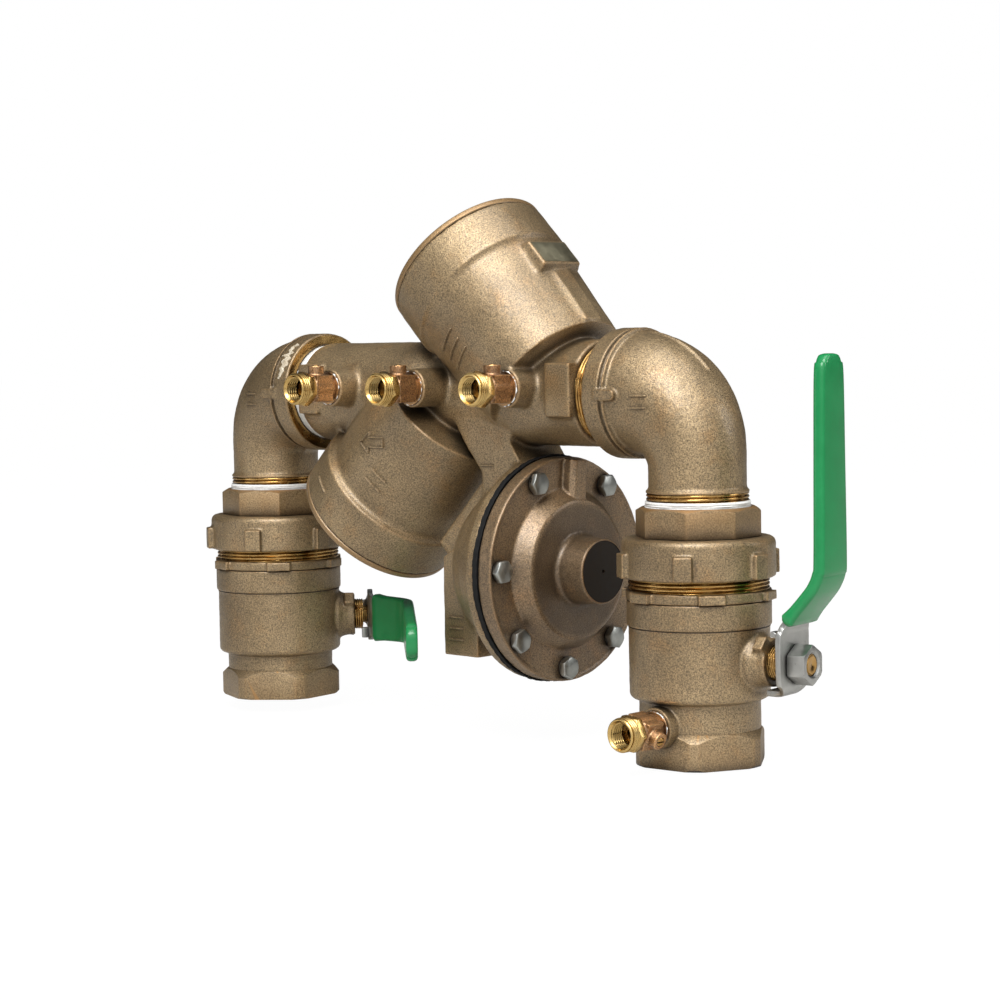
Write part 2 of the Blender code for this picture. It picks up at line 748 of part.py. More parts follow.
def relief_bolt_frame(angle):
    """A bolt's frame: +Z along world +X, from the diaphragm's plane."""
    y = RELIEF_BOLT_CIRCLE_R * math.sin(angle)
    z = RELIEF_Z + RELIEF_BOLT_CIRCLE_R * math.cos(angle)
    return frame_at((DIAPHRAGM_X, y, z), (1, 0, 0))


def relief_cover(materials):
    """The stepped cover with its boss, sensing rib and bolt holes."""
    frame = relief_frame()
    back = DIAPHRAGM_X + DIAPHRAGM_THICKNESS + GAP
    edge = 0.0010
    inner_step_x = RELIEF_STEP_X - RELIEF_WALL
    cover = turned("relief_cover", [
        (RELIEF_VENT_HOLE_R, RELIEF_BOSS_X - RELIEF_WALL),
        (RELIEF_VENT_HOLE_R, RELIEF_BOSS_X),
        (RELIEF_BOSS_R - edge, RELIEF_BOSS_X),
        (RELIEF_BOSS_R, RELIEF_BOSS_X - edge),
        (RELIEF_BOSS_R + edge, RELIEF_STEP_X + 2 * edge),
        (RELIEF_BOSS_R + 3 * edge, RELIEF_STEP_X),
        (RELIEF_STEP_R, RELIEF_STEP_X),
        (RELIEF_CONE_R, RELIEF_RIM_X),
        (RELIEF_FLANGE_R - edge, RELIEF_RIM_X),
        (RELIEF_FLANGE_R, RELIEF_RIM_X - edge),
        (RELIEF_FLANGE_R, back),
        (RELIEF_CONE_R - RELIEF_WALL, back),
        (RELIEF_STEP_R - RELIEF_WALL, inner_step_x),
        (RELIEF_BOSS_R - RELIEF_WALL, inner_step_x),
        (RELIEF_BOSS_R - RELIEF_WALL, RELIEF_BOSS_X - RELIEF_WALL),
    ], FINE, frame)
    join(cover, sensing_rib())
    cut_bolt_holes(cover)
    return finish(cover, materials["dark_bronze"])


def cut_bolt_holes(piece):
    """Clear holes for the cover's bolts, right through a piece."""
    radius = hole_r(BOLT_R, COARSE)
    through = RELIEF_BOSS_X - DIAPHRAGM_X
    for angle in relief_bolt_angles():
        frame = relief_bolt_frame(angle)
        cut(piece, rod("bolt_hole", radius, -PAST, through, COARSE, frame))


def sensing_rib():
    """The radial rib that carries the sensing passage across the flange."""
    half_width = RELIEF_RIB_HALF_WIDTH
    top = RELIEF_RIM_X + RELIEF_RIB_HEIGHT
    foot = RELIEF_RIM_X - RELIEF_WALL
    outline = [
        (-half_width, foot),
        (half_width, foot),
        (half_width, top - RELIEF_RIB_CHAMFER),
        (half_width - RELIEF_RIB_CHAMFER, top),
        (RELIEF_RIB_CHAMFER - half_width, top),
        (-half_width, top - RELIEF_RIB_CHAMFER),
    ]
    outward = Vector((0, math.sin(RELIEF_RIB_ANGLE), math.cos(RELIEF_RIB_ANGLE)))
    # local X across the rib, local Y along world +X, local Z outward
    frame = frame_at((0, 0, RELIEF_Z), outward, (1, 0, 0))
    return prism("rib", outline, RELIEF_RIB_START, RELIEF_FLANGE_R - PAST, frame)


def relief_parts(materials):
    """Cover, diaphragm, stem, spring and bolts."""
    frame = relief_frame()
    relief_cover(materials)
    front = DIAPHRAGM_X + DIAPHRAGM_THICKNESS
    inner_r = RELIEF_STEM_R + GAP
    outer_r = RELIEF_FLANGE_R - GAP
    diaphragm = turned("relief_diaphragm", [
        (inner_r, DIAPHRAGM_X),
        (outer_r, DIAPHRAGM_X),
        (outer_r, front),
        (inner_r, front),
    ], FINE, frame)
    cut_bolt_holes(diaphragm)
    finish(diaphragm, materials["black_rubber"])
    disc_face = RELIEF_CHAMBER_X + RELIEF_LIFT
    disc_back = disc_face + RELIEF_DISC_THICKNESS
    plate_back = DIAPHRAGM_X - RELIEF_PLATE_BACK
    stem = turned("relief_stem", [
        (0, disc_face),
        (RELIEF_DISC_R, disc_face),
        (RELIEF_DISC_R, disc_back),
        (RELIEF_STEM_R, disc_back + SINK),
        (RELIEF_STEM_R, plate_back),
        (RELIEF_PLATE_R, DIAPHRAGM_X - RELIEF_PLATE_EDGE),
        (RELIEF_PLATE_R, DIAPHRAGM_X - GAP),
        (RELIEF_STEM_R, DIAPHRAGM_X - GAP),
        (RELIEF_STEM_R, front + RELIEF_STEM_END),
        (0, front + RELIEF_STEM_END),
    ], FINE, frame)
    finish(stem, materials["machined_brass"])
    span = (RELIEF_CHAMBER_X, plate_back)
    spring("relief_spring", RELIEF_SPRING_R, span, RELIEF_SPRING_TURNS, frame, materials)
    head = RELIEF_RIM_X - DIAPHRAGM_X + GAP
    for number, angle in enumerate(relief_bolt_angles(), 1):
        bolt_frame = relief_bolt_frame(angle)
        bolt = rod(f"relief_bolt_{number}", BOLT_R, -BOLT_DEPTH, head + SINK, COARSE, bolt_frame)
        hexagon = polygon(6, BOLT_FLATS, angle)
        join(bolt, prism("head", hexagon, head, head + BOLT_HEAD, bolt_frame))
        finish(bolt, materials["steel"])


# -------------------------------------------------------------------- elbows
def circle_ring(centre, normal, radius, segments):
    """Points of a circle in the XZ-bending plane's cross sections."""
    across = Vector((0, 1, 0))
    up = normal.cross(across)
    angles = [math.tau * i / segments for i in range(segments)]
    return [centre + (across * math.cos(a) + up * math.sin(a)) * radius for a in angles]


def bend_station(side, step):
    """Centre and direction of the bend's middle line at one step."""
    angle = math.pi / 2 * step / ELBOW_BEND_STEPS
    centre = Vector((
        side * ELBOW_BEND_R * (math.sin(angle) - 1),
        0,
        ELBOW_BEND_R * (math.cos(angle) - 1),
    ))
    return centre, Vector((side * math.cos(angle), 0, -math.sin(angle)))


def elbow(valve, materials):
    """A street elbow: a socket towards the body, a threaded leg downwards."""
    side = valve["side"]
    level = Vector((side, 0, 0))
    band_end = ELBOW_REACH - ELBOW_BAND_LENGTH
    # (distance from the valve axis, radius) along the socket
    outside = [
        (ELBOW_REACH, ELBOW_BAND_R - ELBOW_EDGE),
        (ELBOW_REACH - ELBOW_EDGE, ELBOW_BAND_R),
        (band_end + ELBOW_EDGE, ELBOW_BAND_R),
        (band_end, ELBOW_BODY_R),
    ]
    rings = [circle_ring(-level * x, level, radius, FINE) for x, radius in outside]
    taper = ELBOW_BODY_R - ELBOW_LEG_R
    for step in range(1, ELBOW_BEND_STEPS + 1):
        centre, normal = bend_station(side, step)
        share = max(normal.dot(level), 0) ** ELBOW_TAPER_POWER
        rings.append(circle_ring(centre, normal, ELBOW_LEG_R + taper * share, FINE))
    leg = [
        (ELBOW_BEAD_Z + ELBOW_BEAD_HEIGHT + ELBOW_EDGE, ELBOW_LEG_R),
        (ELBOW_BEAD_Z + ELBOW_BEAD_HEIGHT, ELBOW_BEAD_R),
        (ELBOW_BEAD_Z, ELBOW_BEAD_R),
        (ELBOW_BEAD_Z - ELBOW_EDGE, PIPE_THREAD_R),
        (ELBOW_THREAD_END_Z, PIPE_THREAD_R),
    ]
    down = Vector((0, 0, -1))
    rings += [circle_ring(Vector((0, 0, z)), down, radius, FINE) for z, radius in leg]
    frame = upright_frame(valve)
    body = lofted(f"{valve['name']}_elbow", rings, frame)
    cut(body, elbow_bore(side, frame))
    socket = frame_at((side * (VALVE_X - ELBOW_REACH), 0, 0), (side, 0, 0))
    cut(body, rod("socket", hole_r(PIPE_THREAD_R, FINE), -PAST, ELBOW_SOCKET_DEPTH, FINE, socket))
    return finish(body, materials["cast_bronze"])


def elbow_bore(side, frame):
    """The round waterway through an elbow."""
    level = Vector((side, 0, 0))
    rings = [circle_ring(-level * (ELBOW_REACH + PAST), level, BORE_R, MEDIUM)]
    for step in range(ELBOW_BEND_STEPS + 1):
        centre, normal = bend_station(side, step)
        rings.append(circle_ring(centre, normal, BORE_R, MEDIUM))
    foot = Vector((0, 0, ELBOW_THREAD_END_Z - PAST))
    rings.append(circle_ring(foot, Vector((0, 0, -1)), BORE_R, MEDIUM))
    return lofted("elbow_bore", rings, frame)


# ---------------------------------------------------------------- ball valve
def valve_frame(valve):
    """The frame of a valve: +Z up its axis, +X along its stem."""
    place = Matrix.Translation((valve["side"] * VALVE_X, 0, 0))
    return place @ Matrix.Rotation(valve["stem_angle"], 4, "Z")


def upright_frame(valve):
    """The frame of a valve's pieces that do not face the stem."""
    return Matrix.Translation((valve["side"] * VALVE_X, 0, 0))


def tailpiece(valve, materials):
    """The octagonal union tail that the elbow screws into."""
    frame = upright_frame(valve)
    name = f"{valve['name']}_union_tailpiece"
    corners = polygon(8, TAIL_FLATS, valve["octagon_corner"])
    tail = prism(name, corners, TAIL_FOOT_Z, TAIL_TOP_Z, frame)
    shank = turned("shank", [
        (0, TAIL_END_Z),
        (TAIL_FLANGE_R, TAIL_END_Z),
        (TAIL_FLANGE_R, TAIL_END_Z + TAIL_FLANGE_HEIGHT),
        (TAIL_NECK_R, TAIL_END_Z + TAIL_FLANGE_HEIGHT),
        (TAIL_NECK_R, TAIL_FOOT_Z + SINK),
        (0, TAIL_FOOT_Z + SINK),
    ], FINE, frame)
    join(tail, shank)
    socket_r = hole_r(PIPE_THREAD_R, FINE)
    socket_foot = ELBOW_THREAD_END_Z - SINK
    bore = turned("bore", [
        (0, TAIL_END_Z - PAST),
        (BORE_R, TAIL_END_Z - PAST),
        (BORE_R, socket_foot),
        (socket_r, socket_foot),
        (socket_r, TAIL_TOP_Z + PAST),
        (0, TAIL_TOP_Z + PAST),
    ], FINE, frame)
    cut(tail, bore)
    return finish(tail, materials["cast_bronze"])


def union_nut(valve, materials):
    """The round union nut with six wrench lugs."""
    frame = upright_frame(valve)
    mouth_r = hole_r(TAIL_NECK_R, FINE)
    thread_r = hole_r(UNION_THREAD_R, FINE)
    nut = turned(f"{valve['name']}_union_nut", [
        (mouth_r, UNION_TOP_Z),
        (mouth_r, UNION_TOP_Z - UNION_LIP),
        (thread_r, UNION_TOP_Z - UNION_LIP),
        (thread_r, UNION_FOOT_Z),
        (UNION_R - UNION_EDGE, UNION_FOOT_Z),
        (UNION_R, UNION_FOOT_Z + UNION_EDGE),
        (UNION_R, UNION_TOP_Z - UNION_ROUND),
        (UNION_R - UNION_ROUND, UNION_TOP_Z),
    ], FINE, frame)
    for index in range(UNION_LUG_COUNT):
        angle = UNION_LUG_ANGLE + math.tau * index / UNION_LUG_COUNT
        lug_frame = frame @ Matrix.Rotation(angle, 4, "Z")
        low = (UNION_R - PAST, -UNION_LUG_WIDTH / 2, UNION_FOOT_Z + UNION_EDGE)
        high = (UNION_LUG_R, UNION_LUG_WIDTH / 2, UNION_LUG_TOP_Z)
        join(nut, block("lug", low, high, lug_frame))
    return finish(nut, materials["cast_bronze"])


def ball_seat_height(radius):
    """Height over the ball's centre where a seat's flats just clear the ball."""
    flat_r = radius * math.cos(math.pi / FINE)
    return math.sqrt((BALL_R + GAP) ** 2 - flat_r ** 2)


def ball_seats(valve, materials):
    """The two PTFE rings that the ball turns between."""
    inner_r = BALL_BORE_R + GAP
    contact_r = BALL_SEAT_CONTACT_R
    shoulder = ball_seat_height(contact_r) + PAST
    for place, up in (("upper", 1), ("lower", -1)):
        outline = [
            (inner_r, BALL_SEAT_REACH),
            (BALL_SEAT_R, BALL_SEAT_REACH),
            (BALL_SEAT_R, shoulder),
            (contact_r, ball_seat_height(contact_r)),
            (inner_r, ball_seat_height(inner_r)),
        ]
        frame = upright_frame(valve) @ Matrix.Translation((0, 0, BALL_Z))
        if up < 0:
            frame = frame @ Matrix.Rotation(math.pi, 4, "X")
        seat = turned(f"{valve['name']}_ball_seat_{place}", outline, FINE, frame)
        finish(seat, materials["white_ptfe"])


def retainer(valve, materials):
    """The screwed end of the ball valve, with the union's thread."""
    frame = upright_frame(valve)
    top = TAIL_END_Z - GAP
    pocket_r = hole_r(BALL_SEAT_R, FINE)
    pocket_z = BALL_Z + BALL_SEAT_REACH + GAP
    collar_top, collar_foot = RETAINER_COLLAR_Z
    piece = turned(f"{valve['name']}_valve_retainer", [
        (BORE_R, top),
        (BORE_R, pocket_z),
        (pocket_r, pocket_z),
        (pocket_r, RETAINER_END_Z),
        (RETAINER_SHANK_R, RETAINER_END_Z),
        (RETAINER_SHANK_R, collar_foot),
        (RETAINER_COLLAR_R, collar_foot),
        (RETAINER_COLLAR_R, collar_top),
        (UNION_THREAD_R, collar_top),
        (UNION_THREAD_R, top),
    ], FINE, frame)
    for index in range(UNION_LUG_COUNT):
        turn = math.tau * (index + RETAINER_LUG_SHIFT) / UNION_LUG_COUNT
        lug_frame = frame @ Matrix.Rotation(UNION_LUG_ANGLE + turn, 4, "Z")
        low = (RETAINER_COLLAR_R - PAST, -RETAINER_LUG_HALF_WIDTH, collar_foot + GAP)
        high = (
            RETAINER_COLLAR_R + RETAINER_LUG_HEIGHT,
            RETAINER_LUG_HALF_WIDTH,
            collar_top - GAP,
        )
        join(piece, block("collar_lug", low, high, lug_frame))
    return finish(piece, materials["cast_bronze"])


def valve_body(valve, materials):
    """The ball valve's casting with its stem boss and hexagonal pipe end."""
    frame = valve_frame(valve)
    neck_end = valve["neck_end_z"]
    foot = valve["hex_end_z"]
    core_r = BODY_NECK_R - 2 * PAST
    body = turned(f"{valve['name']}_valve_body", [
        (0, foot + PAST),
        (core_r, foot + PAST),
        (BODY_NECK_R, neck_end),
        (BODY_NECK_R, BODY_NECK_Z),
        (BODY_R - BODY_ROUND, BODY_NECK_Z + GAP),
        (BODY_R, BODY_SHOULDER_Z),
        (BODY_R, BODY_SEAM_Z),
        (BODY_TOP_R, BODY_SEAM_Z + SINK),
        (BODY_TOP_R, BODY_TOP_Z),
        (0, BODY_TOP_Z),
    ], FINE, frame)
    join(body, hex_end(valve, neck_end, foot))
    across = frame @ frame_at((0, 0, BALL_Z), (1, 0, 0))
    boss = turned("stem_boss", [
        (0, STEM_BOSS_START),
        (STEM_BOSS_R + STEM_BOSS_FLARE, STEM_BOSS_START),
        (STEM_BOSS_R + STEM_BOSS_FLARE, STEM_BOSS_FLARE_END),
        (STEM_BOSS_R, STEM_BOSS_FLARE_END + STEM_BOSS_FLARE),
        (STEM_BOSS_R, STEM_BOSS_END),
        (0, STEM_BOSS_END),
    ], MEDIUM, across)
    join(body, boss)
    add_stop_ears(body, across)
    if valve["cock"]:
        start, end = INLET_COCK_BOSS_START, INLET_COCK_FACE
        join(body, rod("cock_boss", COCK_BOSS_R, start, end, MEDIUM, inlet_cock_frame(0)))
    cut(body, turned("valve_bore", valve_bore_outline(foot), FINE, frame))
    stem_hole_r = hole_r(STEM_R, MEDIUM)
    gland_hole_r = hole_r(GLAND_R, MEDIUM)
    cut(body, turned("stem_hole", [
        (0, STEM_BOSS_START),
        (stem_hole_r, STEM_BOSS_START),
        (stem_hole_r, GLAND_START),
        (gland_hole_r, GLAND_START),
        (gland_hole_r, GLAND_END),
        (0, GLAND_END),
    ], MEDIUM, across))
    if valve["cock"]:
        face = inlet_cock_frame(INLET_COCK_FACE)
        cut_cock_hole(body, "inlet_cock_hole", INLET_COCK_PORT_DEPTH, face)
    return finish(body, materials["cast_bronze"])


def valve_bore_outline(foot):
    """The ball's cavity, its seat pocket, the waterway and the pipe socket."""
    pocket_foot = BALL_Z - BALL_SEAT_REACH - GAP
    pocket_r = hole_r(BALL_SEAT_R, FINE)
    shank_r = hole_r(RETAINER_SHANK_R, FINE)
    socket_top = foot + PIPE_SOCKET_DEPTH
    return [
        (0, foot - PAST),
        (PIPE_SOCKET_R, foot - PAST),
        (PIPE_SOCKET_R, socket_top),
        (BORE_R, socket_top),
        (BORE_R, pocket_foot),
        (pocket_r, pocket_foot),
        (pocket_r, CAVITY_FOOT_Z),
        (CAVITY_R, CAVITY_FOOT_Z),
        (CAVITY_R, RETAINER_END_Z - GAP),
        (shank_r, RETAINER_END_Z - GAP),
        (shank_r, BODY_TOP_Z + PAST),
        (0, BODY_TOP_Z + PAST),
    ]


def hex_end(valve, neck_end, foot):
    """A hexagon whose corners are turned down to a drum with chamfered ends."""
    upright = upright_frame(valve)
    drum = turned("drum", [
        (0, foot),
        (HEX_CORNER_R - HEX_CHAMFER, foot),
        (HEX_CORNER_R, foot + HEX_CHAMFER),
        (HEX_CORNER_R, neck_end - HEX_CHAMFER / 2),
        (BODY_NECK_R, neck_end + SINK),
        (0, neck_end + SINK),
    ], FINE, upright)
    corners = polygon(6, HEX_FLATS, valve["hex_corner"])
    flats = prism("flats", corners, foot - SINK, neck_end + PAST, upright)
    return combine(drum, flats, "INTERSECT")


def add_stop_ears(body, across):
    """Two opposite cast ears; the lever's tab turns a quarter between them."""
    for angle in STOP_EAR_ANGLES:
        ear_frame = across @ Matrix.Rotation(angle, 4, "Z")
        low = (STEM_BOSS_R - PAST, -STOP_EAR_HALF_WIDTH, STOP_EAR_START)
        high = (STEM_BOSS_R + STOP_EAR_HEIGHT, STOP_EAR_HALF_WIDTH, STEM_BOSS_END - GAP)
        join(body, block("ear", low, high, ear_frame))


def stem_frame(valve):
    """A stem's frame: local +X out along the stem, turned with the lever."""
    frame = valve_frame(valve) @ Matrix.Translation((0, 0, BALL_Z))
    return frame @ Matrix.Rotation(valve["lever_turn"], 4, "X")


def ball_and_stem(valve, materials):
    """The drilled ball, the stem that turns it and the packing gland."""
    frame = stem_frame(valve)
    out = frame @ frame_at((0, 0, 0), (1, 0, 0))
    reach = BALL_R + PAST
    slot_y, slot_z = BALL_SLOT_HALF
    sphere = ball(f"{valve['name']}_ball", BALL_R, MEDIUM, frame)
    cut(sphere, rod("ball_bore", BALL_BORE_R, -reach, reach, MEDIUM, frame))
    cut(sphere, block("slot", (STEM_TANG - GAP, -slot_y, -slot_z), (reach, slot_y, slot_z), frame))
    finish(sphere, materials["machined_brass"])
    thread_start = GLAND_END + GAP
    stem = turned(f"{valve['name']}_stem", [
        (0, STEM_SHOULDER),
        (STEM_R, STEM_SHOULDER),
        (STEM_R, thread_start),
        (STEM_THREAD_R, thread_start),
        (STEM_THREAD_R, STEM_END - SINK),
        (STEM_THREAD_R - SINK, STEM_END),
        (0, STEM_END),
    ], MEDIUM, out)
    tang_y, tang_z = TANG_HALF
    low = (STEM_TANG, -tang_y, -tang_z)
    high = (STEM_SHOULDER + SINK, tang_y, tang_z)
    join(stem, block("tang", low, high, frame))
    finish(stem, materials["machined_brass"])
    fixed = valve_frame(valve) @ frame_at((0, 0, BALL_Z), (1, 0, 0))
    bore_r = hole_r(STEM_R, MEDIUM)
    gland = turned(f"{valve['name']}_gland", [
        (bore_r, GLAND_START + GAP),
        (GLAND_R, GLAND_START + GAP),
        (GLAND_R, GLAND_END),
        (bore_r, GLAND_END),
    ], MEDIUM, fixed)
    finish(gland, materials["machined_brass"])


def rounded_rectangle(width, deep, corner):
    """Half a width and half a depth around the origin, with clipped corners."""
    middle = corner * CORNER_SHARE
    quarter = [
        (width, deep - corner),
        (width - middle, deep - middle),
        (width - corner, deep),
    ]
    mirrored = [(-x, y) for x, y in reversed(quarter)]
    half = quarter + mirrored
    return half + [(-x, -y) for x, y in half]


def strip_rings(path, thickness, spread, corner=0.0):
    """Rings across a bent strip, wider than it by the spread."""
    rings = []
    deep = thickness / 2
    for index, (x, z, half) in enumerate(path):
        before = path[max(index - 1, 0)]
        after = path[min(index + 1, len(path) - 1)]
        along = Vector((after[0] - before[0], 0, after[1] - before[1])).normalized()
        normal = Vector((along.z, 0, -along.x))
        width = half + spread
        shape = [(width, deep), (-width, deep), (-width, -deep), (width, -deep)]
        if corner:
            shape = rounded_rectangle(width, deep, corner)
        centre = Vector((x, 0, z))
        rings.append([centre + normal * across + Vector((0, side, 0)) for side, across in shape])
    return rings


def lever_and_grip(valve, materials):
    """The bent steel lever, its vinyl grip and the nut that holds it."""
    frame = stem_frame(valve)
    out = frame @ frame_at((0, 0, 0), (1, 0, 0))
    path = list(LEVER_PATH)
    lever = lofted(f"{valve['name']}_lever", strip_rings(path, LEVER_THICKNESS, 0), frame)
    nut_start, nut_end = LEVER_NUT_X
    hole_start, hole_end = GLAND_END, nut_end + PAST
    thread_hole_r = hole_r(STEM_THREAD_R, MEDIUM)
    cut(lever, rod("lever_hole", thread_hole_r, hole_start, hole_end, MEDIUM, out))
    finish(lever, materials["steel"])
    tip = (LEVER_GRIP_X, LEVER_LENGTH + GRIP_WALL + GAP, GRIP_TIP_HALF_WIDTH)
    thick = LEVER_THICKNESS + 2 * (GRIP_WALL + GAP)
    covered = path[GRIP_START:] + [tip]
    outer = strip_rings(covered, thick, GRIP_WALL + GAP, GRIP_CORNER)
    grip = lofted(f"{valve['name']}_grip", outer, frame)
    hollow_tip = (LEVER_GRIP_X, LEVER_LENGTH + GAP, LEVER_TIP_HALF_WIDTH)
    hollow_path = path[GRIP_START - 1:-1] + [hollow_tip]
    hollow = strip_rings(hollow_path, LEVER_THICKNESS + 2 * GAP, GAP)
    cut(grip, lofted("grip_hollow", hollow, frame))
    finish(grip, materials["green_vinyl"])
    nut = prism(f"{valve['name']}_lever_nut", polygon(6, LEVER_NUT_FLATS), nut_start, nut_end, out)
    cut(nut, rod("nut_hole", thread_hole_r, hole_start, hole_end, MEDIUM, out))
    finish(nut, materials["steel"])


# ---------------------------------------------------------------- test cocks
def inlet_cock_frame(distance):
    """The first test cock's frame, on the neck of the inlet valve."""
    return frame_at((VALVE_X, -distance, INLET_COCK_Z), (0, -1, 0))


def test_cock(number, frame, materials):
    """One test cock: local +Z runs out of the boss, local +X along its stem."""
    name = f"test_cock_{number}"
    core_frame = frame @ Matrix.Translation((0, 0, COCK_STEM_AT))
    stem_axis = core_frame @ frame_at((0, 0, 0), (1, 0, 0))
    body = turned(f"{name}_body", [
        (0, -COCK_THREAD_DEPTH),
        (COCK_THREAD_R - SINK, -COCK_THREAD_DEPTH),
        (COCK_THREAD_R, SINK - COCK_THREAD_DEPTH),
        (COCK_THREAD_R, COCK_COLLAR_START),
        (COCK_R, COCK_COLLAR_END),
        (COCK_R, COCK_END),
        (0, COCK_END),
    ], MEDIUM, frame)
    join(body, rod("stem_boss", COCK_STEM_BOSS_R, 0, COCK_STEM_TOP, COARSE, stem_axis))
    chamber_r = hole_r(COCK_BALL_R, COARSE)
    shank_r = hole_r(COCK_SHANK_R, COARSE)
    chamber_end = COCK_STEM_AT + chamber_r
    cut(body, turned("waterway", [
        (0, -COCK_THREAD_DEPTH - PAST),
        (COCK_BORE_R, -COCK_THREAD_DEPTH - PAST),
        (COCK_BORE_R, COCK_STEM_AT - chamber_r),
        (chamber_r, COCK_STEM_AT - chamber_r),
        (chamber_r, chamber_end - GAP),
        (shank_r, chamber_end - GAP),
        (shank_r, COCK_END + PAST),
        (0, COCK_END + PAST),
    ], COARSE, frame))
    stem_hole_r = hole_r(COCK_STEM_R, COARSE)
    cut(body, rod("stem_hole", stem_hole_r, 0, COCK_STEM_TOP + PAST, COARSE, stem_axis))
    finish(body, materials["cock_bronze"])
    core = ball(f"{name}_core", COCK_BALL_R, COARSE, core_frame)
    stem_end = COCK_STEM_TOP - GAP
    join(core, rod("stem", COCK_STEM_R, COCK_STEM_R, stem_end, COARSE, stem_axis))
    across = core_frame @ frame_at((0, 0, 0), (0, 1, 0), (1, 0, 0))
    reach = COCK_BALL_R + PAST
    cut(core, rod("core_bore", COCK_CORE_BORE_R, -reach, reach, COARSE, across))
    depth, half_width, half_length = COCK_SLOT
    slot_low = (stem_end - depth, -half_width, -half_length)
    slot_high = (stem_end + PAST, half_width, half_length)
    cut(core, block("slot", slot_low, slot_high, core_frame))
    finish(core, materials["machined_brass"])
    cock_fitting(name, frame, chamber_end, materials)


def cock_fitting(name, frame, shank_start, materials):
    """The hexagonal mouth that a test hose screws to."""
    hexagon = polygon(6, COCK_HEX_FLATS, COCK_HEX_CORNER)
    fitting = prism(f"{name}_fitting", hexagon, COCK_END + GAP, COCK_HEX_END, frame)
    mouth = turned("mouth", [
        (0, shank_start),
        (COCK_SHANK_R, shank_start),
        (COCK_SHANK_R, COCK_HEX_END - SINK),
        (COCK_MOUTH_R, COCK_HEX_END - SINK),
        (COCK_MOUTH_R, COCK_MOUTH_END - COCK_MOUTH_EDGE),
        (COCK_MOUTH_R - COCK_MOUTH_EDGE, COCK_MOUTH_END),
        (0, COCK_MOUTH_END),
    ], MEDIUM, frame)
    join(fitting, mouth)
    widening = COCK_HEX_END - 2 * PAST
    cut(fitting, turned("mouth_bore", [
        (0, shank_start - PAST),
        (COCK_BORE_R, shank_start - PAST),
        (COCK_BORE_R, widening),
        (COCK_MOUTH_BORE_R, widening + PAST),
        (COCK_MOUTH_BORE_R, COCK_MOUTH_END + PAST),
        (0, COCK_MOUTH_END + PAST),
    ], COARSE, frame))
    finish(fitting, materials["machined_brass"])


# ------------------------------------------------------------------ assembly
def build():
    clear_scene()
    materials = make_materials()
    main_body(materials)
    check_valve("first", barrel_frame(FIRST_CHECK_X, 1), materials)
    check_valve("second", barrel_frame(SECOND_CHECK_X, -1), materials)
    relief_parts(materials)
    for valve in (INLET, OUTLET):
        elbow(valve, materials)
        tailpiece(valve, materials)
        union_nut(valve, materials)
        retainer(valve, materials)
        valve_body(valve, materials)
        ball_seats(valve, materials)
        ball_and_stem(valve, materials)
        lever_and_grip(valve, materials)
    first_turn = Matrix.Rotation(INLET_COCK_TURN, 4, "Z")
    test_cock(1, inlet_cock_frame(INLET_COCK_FACE) @ first_turn, materials)
    for number, x in zip((4, 3, 2), COCK_X):
        frame = frame_at((x, COCK_FACE_Y, COCK_Z), (0, -1, 0))
        test_cock(number, frame @ Matrix.Rotation(COCK_TURN, 4, "Z"), materials)
    move_origin()


def move_origin():
    """Shift every piece so that the chosen point becomes the origin."""
    shift = Matrix.Translation(-Vector(ORIGIN))
    for obj in bpy.data.objects:
        obj.matrix_world = shift @ obj.matrix_world


build()
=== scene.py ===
"""Looks of a 2 inch reduced-pressure backflow preventer in cast bronze.

All shapes are worked out in the pipe frame: the origin is on the axis of the
pipe run, midway between the two vertical valve axes, +X points to the inlet
valve, -Y to the side with the test cocks and +Z up. Lengths are in metres.
"""

import math

import bmesh
import bpy
import numpy as np
from mathutils import Matrix, Vector, noise
from mathutils.bvhtree import BVHTree


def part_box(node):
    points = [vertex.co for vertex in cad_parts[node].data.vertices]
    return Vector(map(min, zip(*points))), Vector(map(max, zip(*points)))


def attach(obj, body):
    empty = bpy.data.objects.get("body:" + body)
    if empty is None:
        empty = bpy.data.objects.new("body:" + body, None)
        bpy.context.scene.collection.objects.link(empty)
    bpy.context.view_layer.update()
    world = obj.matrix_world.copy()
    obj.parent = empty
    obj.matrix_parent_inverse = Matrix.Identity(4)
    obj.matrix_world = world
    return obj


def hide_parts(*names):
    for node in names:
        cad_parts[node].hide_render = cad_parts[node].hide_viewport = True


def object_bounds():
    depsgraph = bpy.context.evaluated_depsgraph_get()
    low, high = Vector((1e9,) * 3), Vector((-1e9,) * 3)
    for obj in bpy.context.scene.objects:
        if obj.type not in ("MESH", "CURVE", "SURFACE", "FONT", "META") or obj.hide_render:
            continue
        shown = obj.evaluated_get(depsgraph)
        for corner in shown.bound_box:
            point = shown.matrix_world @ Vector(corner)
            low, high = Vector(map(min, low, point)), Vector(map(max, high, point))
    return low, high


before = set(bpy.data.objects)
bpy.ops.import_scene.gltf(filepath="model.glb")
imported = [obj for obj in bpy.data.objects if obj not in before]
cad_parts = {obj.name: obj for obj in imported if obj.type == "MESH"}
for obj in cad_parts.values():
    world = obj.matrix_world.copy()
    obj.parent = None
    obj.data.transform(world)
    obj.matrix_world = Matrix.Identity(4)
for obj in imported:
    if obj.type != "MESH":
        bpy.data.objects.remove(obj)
CAD_BOX = [list(corner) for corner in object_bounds()]

# ---------------------------------------------------------------- dimensions
GAP = 0.0003
MERGE = 0.00001
PAST = 0.0020
ROUND = 96                   # facets of a round piece
SMALL_ROUND = 48
TINY_ROUND = 32
EASE = 0.0004                # usual bevel of a machined edge
SHARP = math.radians(38)

